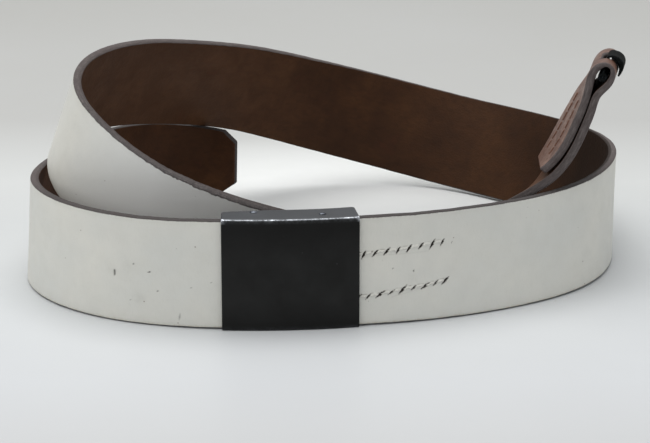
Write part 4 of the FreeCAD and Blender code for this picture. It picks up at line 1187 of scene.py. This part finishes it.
def build_hook():
    q = chord(HOOK_PATH)
    c = Cubic(q, HOOK_PATH)
    L = q[-1]
    grid = np.linspace(0, L, 400)
    t_at = c(grid)[:, 0]
    qs = float(grid[np.argmax(t_at > HOOK_SHOULDER)])
    rr = 0.0012
    body = np.concatenate([[0, 0.00005, 0.00015, 0.0003], np.linspace(0.0006, qs - 0.0004, 12), [qs - 0.0003, qs - 0.0001, qs]])
    tongue = np.concatenate([[qs + 0.00002, qs + 0.0003], np.linspace(qs + 0.0006, L - 0.0026, 46),
                             L - 0.0024 * (1 - np.sin(np.linspace(0, math.pi / 2, 14)[1:]))])
    rows = [(x, HOOK_BAR_HALF - 0.0010 * max(0, 1 - x / 0.001) ** 2 - 0.0006 * max(0, (x - qs + 0.0008) / 0.0008) ** 2) for x in body]
    for x in tongue:
        k = np.clip((x - (L - 0.0024)) / 0.0024, 0, 1)
        neck = 0.0010 * max(0.0, 1 - (x - qs) / 0.0010) ** 2
        rows.append((x, HOOK_TONGUE_HALF + neck - 0.0022 * (1 - math.sqrt(max(0.0, 1 - k * k)))))
    V, C, W = [], [], []
    for x, hw in rows:
        p2, d2 = c(x)[0], unit(c(x, 1))[0]
        ht = HOOK_SHEET / 2 * (1 - 0.2 * x / L)
        endk = max(0.0, 1 - min(x, L - x) / 0.0004)
        ht = ht * max(0.25, math.sqrt(max(0.0, 1 - endk * endk)))
        sw = HOOK_SWELL / 2 * math.sin(math.pi * max(0.0, (x - L + HOOK_SWELL_RUN) / HOOK_SWELL_RUN)) ** 2
        ht += sw
        r = min(ht * 0.8, 0.00038 + 0.5 * sw)
        base = rect_ring(hw, ht, r, 4)
        m = np.linspace(hw - r, -hw + r, 18)[1:-1]
        ring = np.concatenate([base[:5], np.stack([m, np.full(16, ht)], 1), base[5:15],
                               np.stack([-m, np.full(16, -ht)], 1), base[15:]])
        pc, tt, nn, ww = fold_place(np.array([max(p2[0], 0.0)]), np.array([p2[1]]))
        # the hook is straight across: use the end frame everywhere
        pe, te, ne, we = frames(np.array([STRAP_LENGTH]))
        org = pe[0] - ne[0] * FOLD_OFFSET
        cen = org + te[0] * p2[0] + ne[0] * p2[1]
        nrm = te[0] * (-d2[1]) + ne[0] * d2[0]
        V.append(cen - nrm * sw + we[0] * ring[:, :1] + nrm * ring[:, 1:2])
        C.append(np.stack([np.full(len(ring), x), ring[:, 0], ring[:, 1]], -1))
        e = np.exp(-((hw - np.abs(ring[:, 0])) / 0.0005) ** 2)
        W.append(np.clip(e * 0.45 + 0.4 * endk + 0.02, 0, 1))
    V, C, W = np.array(V), np.array(C), np.array(W)
    faces = tube_faces(len(rows), V.shape[1])
    # the rolled bar: a tight roll of the same sheet, its ends eased and slightly hollow
    pe, te, ne, we = frames(np.array([STRAP_LENGTH]))
    axis = pe[0] - ne[0] * FOLD_OFFSET + te[0] * HOOK_AXIS[0] + ne[0] * HOOK_AXIS[1]
    half, R = HOOK_BAR_HALF, HOOK_ROLL_R
    end = [(0.10 * R, 0.55), (0.35 * R, 0.45), (0.52 * R, 0.10), (0.58 * R, 0.02), (0.80 * R, 0.0),
           (0.90 * R, 0.02), (0.965 * R, 0.09), (R, 0.24)]
    prof = [(r, -half + d * MM) for r, d in end] + [(R, z) for z in np.linspace(-half + 0.5 * MM, half - 0.5 * MM, 30)]
    prof += [(r, half - d * MM) for r, d in end[::-1]]
    an = np.linspace(0, 2 * math.pi, 56, endpoint=False)
    RV, RC, RW = [], [], []
    for r, z in prof:
        rr = r * (1 - 0.03 * (np.exp(-((an - 2.4) / 0.16) ** 2)))
        RV.append(axis + we[0] * z + te[0] * (rr * np.cos(an))[:, None] + ne[0] * (rr * np.sin(an))[:, None])
        RC.append(np.stack([np.full(56, z), an * R, np.full(56, r)], -1))
        # blue-grey rub over the whole bar, strongest round its eased ends: a painted reflection, with some wear at the
        # ends
        RW.append(np.clip(0.55 + 0.45 * np.exp(-((r - 0.93 * R) / (0.12 * R)) ** 2) * (abs(z) > half - 0.6 * MM) + 0 * an, 0, 1))
    RV, RC, RW = np.array(RV), np.array(RC), np.array(RW)
    faces = faces + tube_faces(len(prof), 56, base=V.shape[0] * V.shape[1])
    ob = make_mesh("hook_plate", np.concatenate([V.reshape(-1, 3), RV.reshape(-1, 3)]), faces, [HOOKMAT], None,
                   {"sv": np.concatenate([C.reshape(-1, 3), RC.reshape(-1, 3)]),
                    "wear_and_glint": np.concatenate([W.reshape(-1), RW.reshape(-1)])})
    fix_normals(ob)
    return ob


hook = build_hook()

# ---------------------------------------------------------------------------
# what stands for what, and what it rides on
# ---------------------------------------------------------------------------
for piece, node, body, slot in (
        (strap, "strap", "belt", "white_faced_leather"),
        (tab, "buckle_tab", "belt", "brown_leather"),
        (thread_up, "tab_stitch_upper", "belt", "waxed_thread"),
        (thread_lo, "tab_stitch_lower", "belt", "waxed_thread"),
        (fold_up, "fold_stitch_upper", "belt", "waxed_thread"),
        (fold_lo, "fold_stitch_lower", "belt", "waxed_thread"),
        (plate, "buckle_plate", "buckle", "black_enamel_steel"),
        (tab_pin, "tab_pin", "buckle", "blued_steel"),
        (catch_pin, "catch_pin", "buckle", "blued_steel"),
        (hook, "hook", "hook", "black_enamel_steel")):
    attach(piece, body)
    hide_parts(node)

# ---------------------------------------------------------------------------
# floor, light and camera
# ---------------------------------------------------------------------------


def build_floor():
    n = 60
    x = np.linspace(-1, 1, n + 1)
    g = np.sign(x) * np.abs(x) ** 2.2 * 9.0
    X, Y = np.meshgrid(g, g, indexing="ij")
    Z = np.full_like(X, -0.00002)
    verts = np.stack([X, Y, Z], -1).reshape(-1, 3)
    i, j = np.meshgrid(np.arange(n), np.arange(n), indexing="ij")
    f = np.stack([i * (n + 1) + j, (i + 1) * (n + 1) + j, (i + 1) * (n + 1) + j + 1, i * (n + 1) + j + 1], -1).reshape(-1, 4)
    m = Mat("studio_floor")
    co = m.coords()
    sep = m.node("ShaderNodeSeparateXYZ")
    m.link(co, sep.inputs[0])
    along = m.remap(sep.outputs["Y"], -0.30, 0.70, 0.0, 1.0)
    big = m.noise(co, 2.5, 2, 0.5)
    fine = m.noise(co, 60, 3, 0.6)
    # painted light: the floor is paler around the belt and darker in front of it and far behind it
    col = m.ramp(along, [(0.00, (0.475, 0.480, 0.484)), (0.10, (0.525, 0.540, 0.557)), (0.21, (0.545, 0.562, 0.572)),
                         (0.35, (0.535, 0.550, 0.553)), (0.43, (0.560, 0.572, 0.566)), (0.58, (0.425, 0.426, 0.414)),
                         (0.94, (0.430, 0.430, 0.412))])
    # a painted pool of light in the middle, behind the belt
    mp = m.node("ShaderNodeMapping")
    m.link(co, mp.inputs["Vector"])
    mp.inputs["Location"].default_value = (0.005 / 0.16, -0.135 / 0.10, 0)
    mp.inputs["Scale"].default_value = (1 / 0.16, 1 / 0.10, 0)
    ln = m.node("ShaderNodeVectorMath", operation="LENGTH")
    m.link(mp.outputs["Vector"], ln.inputs[0])
    col = m.mix(m.remap(ln.outputs["Value"], 1.0, 0.2, 0, 0.85), col, (0.760, 0.770, 0.765))
    col = m.mix(m.remap(big, 0.35, 0.65, 0, 0.20), col, (0.54, 0.55, 0.56))
    col = m.mix(m.remap(fine, 0.4, 0.7, 0, 0.06), col, (0.48, 0.49, 0.50))
    m.out(col, 0.42, m.bump(fine, 0.05, 0.0005), spec=0.25)
    ob = make_mesh("floor_sheet", verts, [tuple(q) for q in f], [m.m])
    return ob


floor = build_floor()

world = bpy.data.worlds.new("studio")
bpy.context.scene.world = world
world.use_nodes = True
wt = world.node_tree
bg = wt.nodes["Background"]
tc = wt.nodes.new("ShaderNodeTexCoord")
sp = wt.nodes.new("ShaderNodeSeparateXYZ")
wt.links.new(tc.outputs["Generated"], sp.inputs[0])
rp = wt.nodes.new("ShaderNodeValToRGB")
wt.links.new(sp.outputs["Z"], rp.inputs["Fac"])
rp.color_ramp.elements[0].position = 0.0
rp.color_ramp.elements[0].color = (0.62, 0.63, 0.64, 1)
rp.color_ramp.elements[1].position = 0.9
rp.color_ramp.elements[1].color = (0.98, 0.99, 1.0, 1)
wt.links.new(rp.outputs["Color"], bg.inputs["Color"])
bg.inputs["Strength"].default_value = 0.62


def area(name, loc, target, size, power, color=(1, 1, 1)):
    d = bpy.data.lights.new(name, "AREA")
    d.shape = "RECTANGLE"
    d.size, d.size_y = size
    d.energy = power
    d.color = color
    o = bpy.data.objects.new(name, d)
    bpy.context.scene.collection.objects.link(o)
    o.location = loc
    import mathutils
    v = mathutils.Vector(target) - mathutils.Vector(loc)
    o.rotation_mode = "QUATERNION"
    o.rotation_quaternion = v.to_track_quat("-Z", "Y")
    return o


area("softbox_top", (-0.15, 0.10, 1.50), (0, 0, 0), (1.7, 1.3), 23, (1.0, 0.995, 0.98))
area("softbox_left", (-1.5, -0.9, 0.9), (0, 0, 0.03), (1.0, 1.0), 7.0, (1.0, 0.995, 0.98))
area("softbox_right", (1.6, -0.8, 0.9), (0, 0, 0.03), (1.0, 1.0), 4.2, (0.97, 0.985, 1.0))
area("softbox_low", (-0.55, -1.7, 0.30), (-0.02, 0, 0.06), (1.1, 0.5), 1.3, (1.0, 0.998, 0.99))

theta = math.radians(15.729)
cam_d = 1145.25 * MM
cam = bpy.data.cameras.new("camera")
cam.sensor_fit = "HORIZONTAL"
cam.sensor_width = 36.0
cam.lens = 2366.39 / 650 * 36
cam.clip_start, cam.clip_end = 0.05, 60
cam.dof.use_dof = False
co = bpy.data.objects.new("camera", cam)
bpy.context.scene.collection.objects.link(co)
co.location = (-0.822 * MM, -cam_d * math.cos(theta) - 40.369 * MM, 25 * MM + cam_d * math.sin(theta))
co.rotation_euler = (math.pi / 2 - theta, 0, 0)
bpy.context.scene.camera = co

vs = bpy.context.scene.view_settings
vs.view_transform = "Standard"
vs.look = "None"
vs.exposure = 0.0
vs.gamma = 1.0
